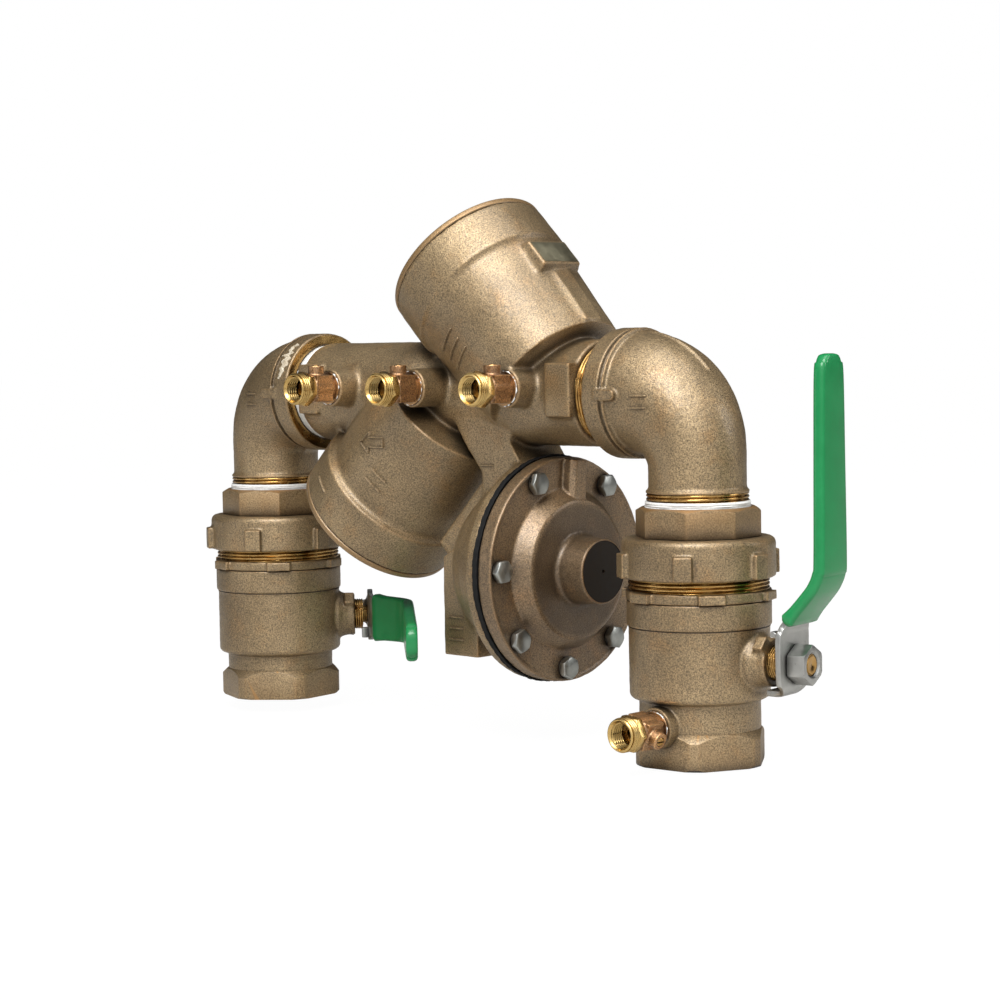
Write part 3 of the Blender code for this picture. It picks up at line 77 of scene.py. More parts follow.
UNION_TOP_Z = -0.0835
NUT_BOXES = [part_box(f"{side}_union_nut") for side in ("inlet", "outlet")]
NUT_X = [(low.x + high.x) / 2 for low, high in NUT_BOXES]
VALVE_X = (NUT_X[0] - NUT_X[1]) / 2
CENTRE = Vector((
    (NUT_X[0] + NUT_X[1]) / 2,
    (NUT_BOXES[0][0].y + NUT_BOXES[0][1].y) / 2,
    NUT_BOXES[0][1].z - UNION_TOP_Z,
))

PIPE_R = 0.0325
PIPE_BORE_R = 0.0255
PIPE_THREAD_R = 0.0302
PIPE_WAIST = 0.0058          # how far the run narrows between the two checks
WAIST = (                    # (along the run, share of the narrowing)
    (-0.0400, 0.0),
    (-0.0330, 0.06),
    (-0.0260, 0.26),
    (-0.0200, 0.58),
    (-0.0150, 0.86),
    (-0.0100, 1.0),
    (0.0300, 1.0),
    (0.0600, 0.0),
)
PIPE_INLET_END = 0.118
PIPE_OUTLET_END = -0.126
PIPE_THREAD_END = 0.149
PIPE_PITCH = 0.0022
THREAD_DEPTH = 0.0009
ELBOW_REACH = 0.0560
ELBOW_BAND_R = 0.0392
ELBOW_BAND_END = 0.0430
ELBOW_SOCKET_DEPTH = 0.0190
ELBOW_BEND_R = 0.0420
ELBOW_BODY_R = 0.0366
ELBOW_LEG_R = 0.0289
ELBOW_BEAD_R = 0.0304
ELBOW_BEAD_Z = -0.0581
ELBOW_BEAD_HEIGHT = 0.0018
ELBOW_THREAD_END_Z = -0.0815
ELBOW_BEND_STEPS = 24
ELBOW_TAPER_POWER = 1.3
BORE_R = 0.0250

CHECK_TILT = math.radians(45)
FIRST_CHECK_X = 0.0855
SECOND_CHECK_X = -0.0020
BARREL_START = 0.014
BARREL_BAND = 0.084
BARREL_END = 0.1133
BARREL_FOOT_R = 0.0472
BARREL_TOP_R = (0.0518, 0.0494)   # first and second check
BARREL_BAND_R = 0.0544
CHAMBER_R = 0.0435
CHAMBER_START = 0.040
THROAT_R = 0.0270
COVER_RIM = 0.0042
COVER_PLUG_DEPTH = 0.0130
COVER_WALL = 0.0060
COVER_GUIDE_R = 0.0100
COVER_GUIDE_DEPTH = 0.0330
COVER_GUIDE_BORE_R = 0.0066
COVER_HEX_FLATS = 0.0380
COVER_HEX_HEIGHT = 0.0100

PAD_HALF_Y = 0.0340
PAD_Z = (-0.0135, 0.0189)
PAD_X = ((0.0970, 0.1170), (-0.1250, -0.1070))
PLATE_S = (0.0575, 0.0775)   # along the upper barrel's axis
PLATE_HALF_Y = 0.0165
PLATE_TOP = 0.0548           # from the barrel's axis
PLATE_FLARE = 0.0014
RIB_HALF_Y = 0.0085
RIB_HEIGHT = 0.0012

RELIEF_Z = -0.1085
RELIEF_FLANGE_R = 0.0694
RELIEF_FLANGE_X = 0.0620
DIAPHRAGM_X = 0.0702
DIAPHRAGM_THICKNESS = 0.0024
DIAPHRAGM_LIP = 0.0011       # how far its squeezed edge stands out
RELIEF_RIM_X = 0.0830
RELIEF_STEP_X = 0.0930
RELIEF_BOSS_X = 0.1130
RELIEF_CONE_R = 0.0500
RELIEF_STEP_R = 0.0410
RELIEF_BOSS_R = 0.0200
BOWL = (                     # (radius, along the relief valve's axis)
    (0, 0.0110),
    (0.0190, 0.0115),
    (0.0270, 0.0148),
    (0.0360, 0.0200),
    (0.0424, 0.0250),
    (0.0478, 0.0320),
    (0.0525, 0.0410),
    (0.0560, 0.0500),
    (0.0600, 0.0580),
    (0.0640, 0.0610),
    (RELIEF_FLANGE_R - 0.0010, RELIEF_FLANGE_X),
)
RELIEF_PORT_X = 0.0150
RELIEF_PORT_R = 0.0150
RELIEF_CHAMBER_R = 0.0390
RELIEF_CHAMBER_X = 0.0360
RELIEF_WALL = 0.0045
RELIEF_BOLT_CIRCLE_R = 0.0608
RELIEF_BOLT_DEGREES = (-27, 35, 87, 139, 183, 229, 273)
RELIEF_RIB_ANGLE = math.radians(5)
RELIEF_RIB_HALF_WIDTH = 0.0075
RELIEF_RIB_HEIGHT = 0.0085
RELIEF_RIB_CHAMFER = 0.0030
RELIEF_RIB_START = 0.0400
RELIEF_VENT_HOLE_R = 0.0012
BOLT_FLATS = 0.0127
BOLT_HEAD = 0.0053
VENT_X = (0.0013, 0.0310)
VENT_HALF_Y = 0.0270
VENT_FOOT_Z = -0.1650
VENT_WALL = 0.0040
DUCT_HALF_Y = 0.0220
VENT_COLUMN = (
    (VENT_X[0], VENT_FOOT_Z),
    (VENT_X[1], VENT_FOOT_Z),
    (VENT_X[1], -0.0850),
    (VENT_X[0], -0.1030),
)
WEB_HALF_Y = 0.0160
WEB = (
    (0.0360, -0.0450),
    (-0.0134, -0.0950),
    (-0.0018, -0.1066),
    (0.0360, -0.1000),
)
DUCT = (
    (0.0035, -0.0100),
    (0.0164, -0.0300),
    (0.0317, -0.0490),
    (0.0316, -0.0900),
    (0.0640, -0.0900),
    (0.0640, -0.0410),
    (0.0560, -0.0290),
    (0.0600, -0.0100),
)
PASSAGE_START = (0.0100, 0, -0.0120)
PASSAGE_END = (0.0480, 0, -0.0820)
PASSAGE_R = 0.0110

TAIL_TOP_Z = -0.0660
TAIL_FOOT_Z = -0.0832
TAIL_FLATS = 0.0690
TAIL_NECK_R = 0.0322
TAIL_FLANGE_R = 0.0385
TAIL_END_Z = -0.0950
TAIL_FLANGE_HEIGHT = 0.0060
TAIL_SINK = 0.0010
UNION_FOOT_Z = -0.1072
UNION_R = 0.0454
UNION_THREAD_R = 0.0416
UNION_LUG_COUNT = 6
UNION_LUG_WIDTH = 0.0110
UNION_LUG_R = 0.0488
UNION_LUG_TOP_Z = -0.0920
UNION_LUG_ANGLE = math.radians(-2)
UNION_LIP = 0.0050
UNION_ROUND = 0.0040
COLLAR_Z = (-0.1142, -0.1203)
COLLAR_R = 0.0430
COLLAR_LUG_HEIGHT = 0.0026
COLLAR_LUG_HALF_WIDTH = 0.0080
COLLAR_LUG_SHIFT = 0.35
BODY_TOP_Z = -0.1206
BODY_TOP_R = 0.0427
BODY_SEAM_Z = -0.1360
SEAM_DEPTH = 0.0005
BODY_R = 0.0415
BODY_SHOULDER_Z = -0.1760
BODY_NECK_Z = -0.1790
BODY_NECK_R = 0.0358
BODY_ROUND = 0.0035
CAVITY_R = 0.0368
CAVITY_Z = (-0.1775, -0.1210)
HEX_FLATS = 0.0728
HEX_CORNER_R = 0.0404
HEX_TOP_SLOPE = 0.0040
HEX_FOOT_SLOPE = 0.0014
PIPE_SOCKET_R = 0.0295
PIPE_SOCKET_DEPTH = 0.0175
BALL_Z = -0.1550
CAVITY_STEP_Z = BALL_Z - 0.0270
CAVITY_STEP_R = 0.0324
BALL_R = 0.0338
BALL_BORE_R = 0.0240
STEM_R = 0.0080
STEM_THREAD_R = 0.0062
STEM_START = 0.0350
STEM_END = 0.0757
STEM_SHANK_END = 0.0600
STEM_BOSS_END = 0.0520
STEM_BOSS_R = 0.0142
STEM_BOSS_START = 0.0300
STEM_BOSS_FLARE = 0.0022
EAR_START = 0.0450
EAR_HALF_WIDTH = 0.0046
EAR_HEIGHT = 0.0040
EAR_ANGLES = (math.radians(-135), math.radians(45))
GLAND_R = 0.0104
GLAND_START = 0.0468
GLAND_END = 0.0575
LEVER_X = 0.0627
LEVER_THICKNESS = 0.0036
LEVER_GRIP_X = 0.0880
LEVER_LENGTH = 0.1760
LEVER_PATH = (
    (0.0500, -0.0170, 0.0074),
    (0.0570, -0.0170, 0.0077),
    (0.0606, -0.0160, 0.0090),
    (LEVER_X, -0.0130, 0.0135),
    (LEVER_X, -0.0080, 0.0162),
    (LEVER_X, 0.0150, 0.0165),
    (LEVER_X + 0.0010, 0.0205, 0.0150),
    (LEVER_X + 0.0035, 0.0250, 0.0136),
    (LEVER_GRIP_X - 0.0085, 0.0400, 0.0132),
    (LEVER_GRIP_X - 0.0038, 0.0462, 0.0131),
    (LEVER_GRIP_X - 0.0009, 0.0530, 0.0130),
    (LEVER_GRIP_X, 0.0610, 0.0128),
    (LEVER_GRIP_X, 0.1150, 0.0118),
    (LEVER_GRIP_X, LEVER_LENGTH - 0.0100, 0.0106),
    (LEVER_GRIP_X, LEVER_LENGTH - 0.0030, 0.0078),
    (LEVER_GRIP_X, LEVER_LENGTH, 0.0048),
)
GRIP_START = 7
GRIP_WALL = 0.0016
PATH_STEPS = 6
SIDE_TAB_PATH = (            # (along the stem, along the lever, half width)
    (LEVER_X, 0.0120, 0.0036),
    (LEVER_X - 0.0010, 0.0160, 0.0036),
    (LEVER_X - 0.0035, 0.0178, 0.0036),
    (0.0568, 0.0182, 0.0034),
)
SIDE_TAB_SHIFT = -0.0110
NUT_X_RANGE = (0.0649, 0.0764)
NUT_FLATS = 0.0205

COCK_Z = 0.0040
COCK_FACE_Y = -0.0460
COCK_X = (-0.0790, -0.0030, 0.0780)
COCK_BOSS_R = 0.0122
COCK_BOSS_START = 0.0050
COCK_BOSS_RAISE = 0.0022
COCK_THREAD_R = 0.0105
COCK_THREAD_DEPTH = 0.0080
COCK_R = 0.0090
COCK_END = 0.0200
COCK_STEM_AT = 0.0125
COCK_STEM_R = 0.0027
COCK_STEM_BOSS_R = 0.0052
COCK_STEM_TOP = 0.0144
COCK_BALL_R = 0.0050
COCK_HEX_FLATS = 0.0195
COCK_HEX_END = 0.0265
COCK_HEX_CORNER = math.radians(12)
COCK_MOUTH_R = 0.0101
COCK_MOUTH_BORE_R = 0.0074
COCK_MOUTH_END = 0.0325
COCK_BORE_R = 0.0028
INLET_COCK_Z = -0.1925
INLET_COCK_FACE = 0.0400
INLET_COCK_BOSS_START = 0.0280
INLET_COCK_TURN = math.radians(-20)

INLET = {
    "name": "inlet",
    "side": 1,
    "stem_angle": math.radians(7),
    "lever_turn": 0.0,
    "neck_end_z": -0.1964,
    "hex_end_z": -0.2170,
    "hex_corner": math.radians(4),
    "octagon_corner": math.radians(29),
    "cock": True,
}
OUTLET = {
    "name": "outlet",
    "side": -1,
    "stem_angle": math.radians(47),
    "lever_turn": math.radians(90),
    "neck_end_z": -0.1898,
    "hex_end_z": -0.2086,
    "hex_corner": math.radians(38),
    "octagon_corner": math.radians(6),
    "cock": False,
}

# Grid of the cast pieces and how they are smoothed
COARSE_GRID = 0.0009
FINE_GRID = 0.0006
SMALL_GRID = 0.0004
EVEN_ROUNDS = 4
FILL_ROUNDS = 26
WAVE_HEIGHT = 0.00018
WAVE_SIZE = 0.012


# ------------------------------------------------------------------- meshes
def solid(bm, place=None):
    """Turn a bmesh into a temporary object in the pipe frame."""
    bmesh.ops.recalc_face_normals(bm, faces=bm.faces)
    if bm.calc_volume(signed=True) < 0:
        bmesh.ops.reverse_faces(bm, faces=bm.faces)
    obj = solid_as_is(bm)
    if place is not None:
        obj.data.transform(place)
    return obj


def frame_at(point, direction, side=None):
    """A frame at a point: +Z along direction, +Y as near side as it can be."""
    z_axis = Vector(direction).normalized()
    if side is None:
        side = (0, 0, 1) if abs(z_axis.y) > 0.9 else (0, 1, 0)
    x_axis = Vector(side).cross(z_axis).normalized()
    y_axis = z_axis.cross(x_axis)
    rotation = Matrix((x_axis, y_axis, z_axis)).transposed()
    return Matrix.Translation(Vector(point)) @ rotation.to_4x4()


def skin(bm, lower, upper):
    """Faces between two rings; a ring of one corner is a pole."""
    count = max(len(lower), len(upper))
    if count == 1:
        return
    for i in range(count):
        j = (i + 1) % count
        if len(lower) == 1:
            bm.faces.new((lower[0], upper[j], upper[i]))
        elif len(upper) == 1:
            bm.faces.new((lower[i], lower[j], upper[0]))
        else:
            bm.faces.new((lower[i], lower[j], upper[j], upper[i]))


def turned(outline, place=None, segments=ROUND, ripple=None):
    """A solid of revolution about local Z, from (radius, height) points."""
    bm = bmesh.new()
    rings = []
    for radius, height in outline:
        if radius < MERGE:
            rings.append([bm.verts.new((0, 0, height))])
            continue
        ring = []
        for i in range(segments):
            angle = math.tau * i / segments
            far = ripple(angle, radius, height) if ripple else radius
            ring.append(bm.verts.new((far * math.cos(angle), far * math.sin(angle), height)))
        rings.append(ring)
    pairs = list(zip(rings, rings[1:]))
    if outline[0][0] > MERGE or outline[-1][0] > MERGE:
        pairs.append((rings[-1], rings[0]))
    for lower, upper in pairs:
        skin(bm, lower, upper)
    return solid(bm, place)


def half_circle(radius, steps):
    """(radius, height) points of a ball's outline, from pole to pole."""
    angles = [math.pi * i / steps - math.pi / 2 for i in range(steps + 1)]
    return [(max(radius * math.cos(a), 0.0), radius * math.sin(a)) for a in angles]


def rod(radius, start, end, place=None, segments=ROUND):
    return turned([(0, start), (radius, start), (radius, end), (0, end)], place, segments)


def stepped(start, steps, place=None, segments=ROUND):
    """A solid of revolution in plain steps, from (radius, end) of each step."""
    outline = [(0, start)]
    for radius, end in steps:
        outline += [(radius, outline[-1][1]), (radius, end)]
    outline.append((0, outline[-1][1]))
    return turned(outline, place, segments)


def thread(radius, depth, pitch, start, end, place=None, bore=0.0, segments=ROUND):
    """A helical thread between two heights, solid or with a plain bore."""
    rows_per_turn = 8
    rows = max(int((end - start) / pitch * rows_per_turn), 2)
    heights = [start + (end - start) * row / rows for row in range(rows + 1)]

    def helix(angle, base, height):
        if base < radius:
            return base
        phase = (height / pitch - angle / math.tau) % 1
        crest = min(1.0, 1.6 * (1 - abs(2 * phase - 1)))
        return radius - depth * (1 - crest)

    outline = [(bore, start)] + [(radius, height) for height in heights] + [(bore, end)]
    return turned(outline, place, segments, helix)


def prism(corners, start, end, place=None):
    """A polygon in the local XY plane, extruded along local Z."""
    bm = bmesh.new()
    lower = [bm.verts.new((x, y, start)) for x, y in corners]
    upper = [bm.verts.new((x, y, end)) for x, y in corners]
    skin(bm, lower, upper)
    bm.faces.new(list(reversed(lower)))
    bm.faces.new(upper)
    return solid(bm, place)


def polygon(sides, flats, corner_angle=0.0):
    radius = flats / 2 / math.cos(math.pi / sides)
    angles = [corner_angle + math.tau * i / sides for i in range(sides)]
    return [(radius * math.cos(a), radius * math.sin(a)) for a in angles]


def block(low, high, place=None):
    corners = [(low[0], low[1]), (high[0], low[1]), (high[0], high[1]), (low[0], high[1])]
    return prism(corners, low[2], high[2], place)


def loft(rings, place=None):
    """A closed solid through rings of points, capped at both ends."""
    bm = bmesh.new()
    loops = [[bm.verts.new(point) for point in ring] for ring in rings]
    for lower, upper in zip(loops, loops[1:]):
        skin(bm, lower, upper)
    bm.faces.new(list(reversed(loops[0])))
    bm.faces.new(loops[-1])
    return solid(bm, place)


def xz_prism(corners, half_width):
    """A polygon of (x, z) points, extruded both ways along Y."""
    place = frame_at((0, 0, 0), (0, -1, 0), (0, 0, 1))
    return prism(corners, -half_width, half_width, place)


def drop(obj):
    mesh = obj.data
    bpy.data.objects.remove(obj, do_unlink=True)
    bpy.data.meshes.remove(mesh)


def evaluated(obj):
    """Apply an object's modifiers to its mesh."""
    bpy.context.view_layer.update()
    depsgraph = bpy.context.evaluated_depsgraph_get()
    mesh = bpy.data.meshes.new_from_object(obj.evaluated_get(depsgraph))
    obj.modifiers.clear()
    old = obj.data
    obj.data = mesh
    bpy.data.meshes.remove(old)
    return obj


def combine(base, tools, operation):
    """Join tools to a solid, cut them out or keep what they share."""
    for tool in tools:
        modifier = base.modifiers.new(operation, "BOOLEAN")
        modifier.operation = operation
        modifier.solver = "MANIFOLD"
        modifier.object = tool
        evaluated(base)
        drop(tool)
    return base


def gathered(parts):
    """Several solids as one object, without working out their overlaps."""
    bm = bmesh.new()
    for part in parts:
        bm.from_mesh(part.data)
        drop(part)
    return solid_as_is(bm)


def solid_as_is(bm):
    """Turn a bmesh into a temporary object without touching its faces."""
    mesh = bpy.data.meshes.new("solid")
    bm.to_mesh(mesh)
    bm.free()
    obj = bpy.data.objects.new("solid", mesh)
    bpy.context.scene.collection.objects.link(obj)
    return obj


def eased(obj, width=EASE, steps=2):
    """Round the sharp edges of a machined piece."""
    modifier = obj.modifiers.new("ease", "BEVEL")
    modifier.width = width
    modifier.segments = steps
    modifier.limit_method = "ANGLE"
    modifier.angle_limit = SHARP
    return evaluated(obj)


def points_of(mesh):
    points = np.empty(len(mesh.vertices) * 3)
    mesh.vertices.foreach_get("co", points)
    return points.reshape(-1, 3)


def normals_of(mesh):
    normals = np.empty(len(mesh.vertices) * 3)
    mesh.vertex_normals.foreach_get("vector", normals)
    return normals.reshape(-1, 3)


def move_points(mesh, points):
    mesh.vertices.foreach_set("co", points.ravel())
    mesh.update()


def even_out(mesh, rounds, fill):
    """Smooth the grid's steps, then fill the inside corners only."""
    count = len(mesh.vertices)
    points = points_of(mesh)
    ends = np.empty(len(mesh.edges) * 2, dtype=np.int64)
    mesh.edges.foreach_get("vertices", ends)
    first, second = ends[0::2], ends[1::2]
    degree = np.bincount(first, minlength=count) + np.bincount(second, minlength=count)
    for turn in range(rounds + fill):
        pull = np.empty_like(points)
        for axis in range(3):
            near = np.bincount(first, weights=points[second, axis], minlength=count)
            near += np.bincount(second, weights=points[first, axis], minlength=count)
            pull[:, axis] = near / degree - points[:, axis]
        share = np.full(count, 0.5)
        if turn >= rounds:
            move_points(mesh, points)
            inside = np.einsum("ij,ij->i", pull, normals_of(mesh)) > 0
            share = np.where(inside, 0.6, 0.02)
        points += pull * share[:, None]
    move_points(mesh, points)


def roughen(mesh, height=WAVE_HEIGHT, size=WAVE_SIZE):
    """Give a cast surface its slight unevenness."""
    points, normals = points_of(mesh), normals_of(mesh)
    waves = np.array([
        noise.noise(Vector(point) / size) + 0.5 * noise.noise(Vector(point) * 4 / size)
        for point in points
    ])
    move_points(mesh, points + normals * (waves * height)[:, None])


def cast(parts, grid=FINE_GRID, fill=FILL_ROUNDS, rounds=EVEN_ROUNDS, waves=WAVE_HEIGHT):
    """Melt overlapping solids into one casting with rounded inside corners."""
    base = gathered(parts)
    modifier = base.modifiers.new("grid", "REMESH")
    modifier.mode = "VOXEL"
    modifier.voxel_size = grid
    evaluated(base)
    even_out(base.data, rounds, fill)
    roughen(base.data, waves)
    return base


def chamfered(sides, flats, start, end, chamfer, corner, place, bottom=True):
    """A nut's shape: a polygon whose ends are turned to a cone."""
    far = flats / 2 / math.cos(math.pi / sides)
    drop_r = far - flats / 2 + chamfer
    low = [(0, start), (far - drop_r, start), (far + MERGE, start + drop_r * 0.58)]
    if not bottom:
        low = [(0, start), (far + MERGE, start)]
    high = [(far + MERGE, end - drop_r * 0.58), (far - drop_r, end), (0, end)]
    drum = turned(low + high, place, SMALL_ROUND * 2)
    flats_solid = prism(polygon(sides, flats, corner), start - PAST, end + PAST, place)
    return combine(drum, [flats_solid], "INTERSECT")


def publish(obj, name, material, body="body", replaced=()):
    """Name a finished piece, shade it and hand it to its CAD body."""
    obj.name = name
    obj.data.name = name
    obj.data.transform(Matrix.Translation(CENTRE))
    obj.data.materials.clear()
    obj.data.materials.append(material)
    obj.data.shade_smooth()
    obj.data.set_sharp_from_angle(angle=SHARP)
    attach(obj, body)
    if replaced:
        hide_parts(*replaced)
    return obj


# ---------------------------------------------------------------- materials
def add_node(tree, kind, inputs=None, **settings):
    """One shader node with its settings, values and links."""
    node = tree.nodes.new(kind)
    for key, value in settings.items():
        setattr(node, key, value)
    for key, value in (inputs or {}).items():
        if isinstance(value, bpy.types.NodeSocket):
            tree.links.new(value, node.inputs[key])
        else:
            node.inputs[key].default_value = value
    return node


def add_noise(tree, place, scale, detail=4.0, roughness=0.55):
    inputs = {"Vector": place, "Scale": scale, "Detail": detail, "Roughness": roughness}
    return add_node(tree, "ShaderNodeTexNoise", inputs).outputs[0]


def spread(tree, value, low, high, floor=0.0, ceiling=1.0):
    """Stretch a value from low..high to floor..ceiling, clipped."""
    inputs = {0: value, 1: low, 2: high, 3: floor, 4: ceiling}
    return add_node(tree, "ShaderNodeMapRange", inputs, clamp=True).outputs[0]


def mix(tree, share, first, second, blend="MIX"):
    node = add_node(tree, "ShaderNodeMix", data_type="RGBA", blend_type=blend)
    for index, value in ((0, share), (6, first), (7, second)):
        if isinstance(value, bpy.types.NodeSocket):
            tree.links.new(value, node.inputs[index])
        else:
            node.inputs[index].default_value = (*value, 1.0) if index else value
    return node.outputs[2]


def times(tree, value, factor):
    inputs = {0: value, 1: factor}
    return add_node(tree, "ShaderNodeMath", inputs, operation="MULTIPLY").outputs[0]


def bump(tree, height, strength, distance, below=None):
    inputs = {"Height": height, "Strength": strength, "Distance": distance}
    if below is not None:
        inputs["Normal"] = below
    return add_node(tree, "ShaderNodeBump", inputs).outputs[0]


def start_material(name, colour):
    """An empty Principled material with its texture place."""
    material = bpy.data.materials.new(name)
    material.use_nodes = True
    material.diffuse_color = (*colour, 1.0)
    tree = material.node_tree
    shader = tree.nodes["Principled BSDF"]
    shader.inputs["Base Color"].default_value = (*colour, 1.0)
    place = add_node(tree, "ShaderNodeTexCoord").outputs["Object"]
    return material, tree, shader, place


def painted_shade_mask(tree, distance, low=0.25, high=0.95):
    """Ambient occlusion as the mask of painted shade: 0 in a deep corner, 1 on open surface."""
    node = add_node(tree, "ShaderNodeAmbientOcclusion", {"Distance": distance}, samples=8)
    return spread(tree, node.outputs["AO"], low, high)


def edges(tree, low, high):
    """0 on flat surface, 1 on a sharp edge, which is drawn lighter: partly rubbed metal, partly a
    painted highlight.
    """
    geometry = add_node(tree, "ShaderNodeNewGeometry")
    return spread(tree, geometry.outputs["Pointiness"], low, high)


def cast_metal(name, light, dark, tint, painted_shade_colour, roughness=0.5, metallic=0.75, grain=0.55,
               rubbing_and_highlight=1.0, extra_painted_shade=None):
    """Sand-cast metal: broad colour drift, rusty patches, grain and sparkle, lighter sharp edges
    (partly rubbed, partly a painted highlight) and painted shade in deep corners.
    """
    material, tree, shader, place = start_material(name, light)
    broad = add_noise(tree, place, 16.0)
    patches = add_noise(tree, place, 60.0, 6.0, 0.65)
    fine = add_noise(tree, place, 1150.0, 3.0, 0.7)
    sparkle = add_noise(tree, place, 760.0, 2.0, 0.8)
    colour = mix(tree, spread(tree, broad, 0.38, 0.62), dark, light)
    colour = mix(tree, spread(tree, patches, 0.52, 0.74, 0.0, 0.55), colour, tint)
    bright = spread(tree, fine, 0.32, 0.68, 0.34, 1.72)
    grey = add_node(tree, "ShaderNodeCombineColor", {0: bright, 1: bright, 2: bright})
    colour = mix(tree, 1.0, colour, grey.outputs[0], "MULTIPLY")
    # Lighter sharp edges from pointiness: partly rubbed metal, partly a painted highlight.
    rubbed_and_lit = times(tree, edges(tree, 0.515, 0.60), rubbing_and_highlight)
    colour = mix(tree, rubbed_and_lit, colour, [min(1.0, c * 1.35) for c in tint])
    # Painted shade from an extra mask, towards the same shade colour.
    if extra_painted_shade is not None:
        colour = mix(tree, extra_painted_shade(tree, place), colour, painted_shade_colour)
    # Painted shade: ambient occlusion darkens deep corners towards the shade colour.
    colour = mix(tree, painted_shade_mask(tree, 0.010), painted_shade_colour, colour)
    tree.links.new(colour, shader.inputs["Base Color"])
    shine = spread(tree, sparkle, 0.58, 0.74, roughness, roughness * 0.45)
    tree.links.new(shine, shader.inputs["Roughness"])
    shader.inputs["Metallic"].default_value = metallic
    shader.inputs["Coat Weight"].default_value = 0.5
    shader.inputs["Coat Roughness"].default_value = 0.36
    shader.inputs["Coat IOR"].default_value = 1.7
    relief = bump(tree, patches, 0.35, 0.0012)
    relief = bump(tree, fine, grain, 0.00045, relief)
    tree.links.new(relief, shader.inputs["Normal"])
    return material


def machined_metal(name, colour, shade, roughness, scratch=0.25, metallic=1.0, stretch=(1, 1, 1)):
    """Turned or drawn metal: soft scratches, smudges and painted shade in deep corners."""
    material, tree, shader, place = start_material(name, colour)
    inputs = {"Vector": place, "Scale": stretch}
    lines = add_node(tree, "ShaderNodeMapping", inputs).outputs[0]
    scratches = add_noise(tree, lines, 420.0, 4.0, 0.7)
    smudges = add_noise(tree, place, 85.0, 5.0, 0.6)
    tone = mix(tree, spread(tree, smudges, 0.35, 0.68), shade, colour)
    # Painted shade in deep corners, from ambient occlusion.
    tone = mix(tree, painted_shade_mask(tree, 0.004), [c * 0.25 for c in shade], tone)
    tree.links.new(tone, shader.inputs["Base Color"])
    shine = spread(tree, smudges, 0.3, 0.7, roughness * 0.7, roughness * 1.35)
    tree.links.new(shine, shader.inputs["Roughness"])
    shader.inputs["Metallic"].default_value = metallic
    relief = bump(tree, scratches, scratch, 0.0002)
    tree.links.new(relief, shader.inputs["Normal"])
    return material


def plain_finish(name, colour, shade, roughness, coat=0.0, grain=0.1, size=180.0):
    """Vinyl, rubber, plastic or tape: soft mottling, fine grain, a coat if glossy."""
    material, tree, shader, place = start_material(name, colour)
    mottle = add_noise(tree, place, size, 5.0, 0.6)
    tone = mix(tree, spread(tree, mottle, 0.35, 0.65), shade, colour)
    # Painted shade in deep corners, from ambient occlusion.
    tone = mix(tree, painted_shade_mask(tree, 0.005, 0.1, 0.9), [c * 0.35 for c in shade], tone)
    tree.links.new(tone, shader.inputs["Base Color"])
    shine = spread(tree, mottle, 0.3, 0.7, roughness * 0.85, roughness * 1.2)
    tree.links.new(shine, shader.inputs["Roughness"])
    shader.inputs["Coat Weight"].default_value = coat
    shader.inputs["Coat Roughness"].default_value = 0.12
    shader.inputs["Specular IOR Level"].default_value = 0.3
    tree.links.new(bump(tree, mottle, grain, 0.0006), shader.inputs["Normal"])
    return material


def relief_step_painted_shade(tree, place):
    """Painted shade: darker inside the step of the relief valve's cover, between the step and the
    boss.
    """
    centre = CENTRE + Vector((0, 0, RELIEF_Z))
    offset = add_node(tree, "ShaderNodeVectorMath", {0: place, 1: centre}, operation="SUBTRACT")
    flat = add_node(
        tree, "ShaderNodeVectorMath", {0: offset.outputs[0], 1: (0, 1, 1)}, operation="MULTIPLY")
    radius = add_node(
        tree, "ShaderNodeVectorMath", {0: flat.outputs[0]}, operation="LENGTH").outputs["Value"]
    inner = spread(tree, radius, RELIEF_STEP_R - 0.002, RELIEF_STEP_R + 0.001, 0.45, 0.0)
    boss = spread(tree, radius, RELIEF_BOSS_R - 0.001, RELIEF_BOSS_R + 0.003, 0.0, 1.0)
    return add_node(
        tree, "ShaderNodeMath", {0: inner, 1: boss}, operation="MULTIPLY").outputs[0]


# The fourth colour of each cast metal below is its painted shade in deep corners.
BRONZE = cast_metal(
    "cast_bronze", (0.320, 0.228, 0.120), (0.215, 0.148, 0.074), (0.32, 0.178, 0.064),
    (0.026, 0.015, 0.006),
)
DARK_BRONZE = cast_metal(
    "dark_bronze", (0.275, 0.186, 0.102), (0.175, 0.115, 0.060), (0.31, 0.168, 0.068),
    (0.015, 0.008, 0.004), extra_painted_shade=relief_step_painted_shade,
)
MARK_BRONZE = cast_metal(
    "mark_bronze", (0.37, 0.270, 0.150), (0.29, 0.205, 0.110), (0.34, 0.205, 0.090),
    (0.026, 0.015, 0.006), rubbing_and_highlight=0.0,
)
# A plain near-black finish for the disc in the shallow dish at the end of the relief cover's boss.
DARK_END_COLOUR = plain_finish("dark_cover_end", (0.020, 0.014, 0.009), (0.013, 0.009, 0.006), 0.62)
COCK_BRONZE = cast_metal(
    "cock_bronze", (0.50, 0.28, 0.125), (0.34, 0.17, 0.070), (0.52, 0.30, 0.11),
    (0.06, 0.025, 0.010), 0.36, 0.9, 0.3,
)
BRASS = machined_metal("machined_brass", (0.66, 0.42, 0.16), (0.50, 0.29, 0.09), 0.24, 0.08)
COCK_BRASS = machined_metal("cock_brass", (0.74, 0.53, 0.22), (0.56, 0.36, 0.12), 0.26)
STEEL = machined_metal(
    "brushed_steel", (0.52, 0.52, 0.50), (0.40, 0.40, 0.385), 0.36, 0.35,
    stretch=(4, 4, 0.3),
)
ZINC = machined_metal("zinc_steel", (0.52, 0.53, 0.50), (0.32, 0.33, 0.31), 0.36, 0.4)
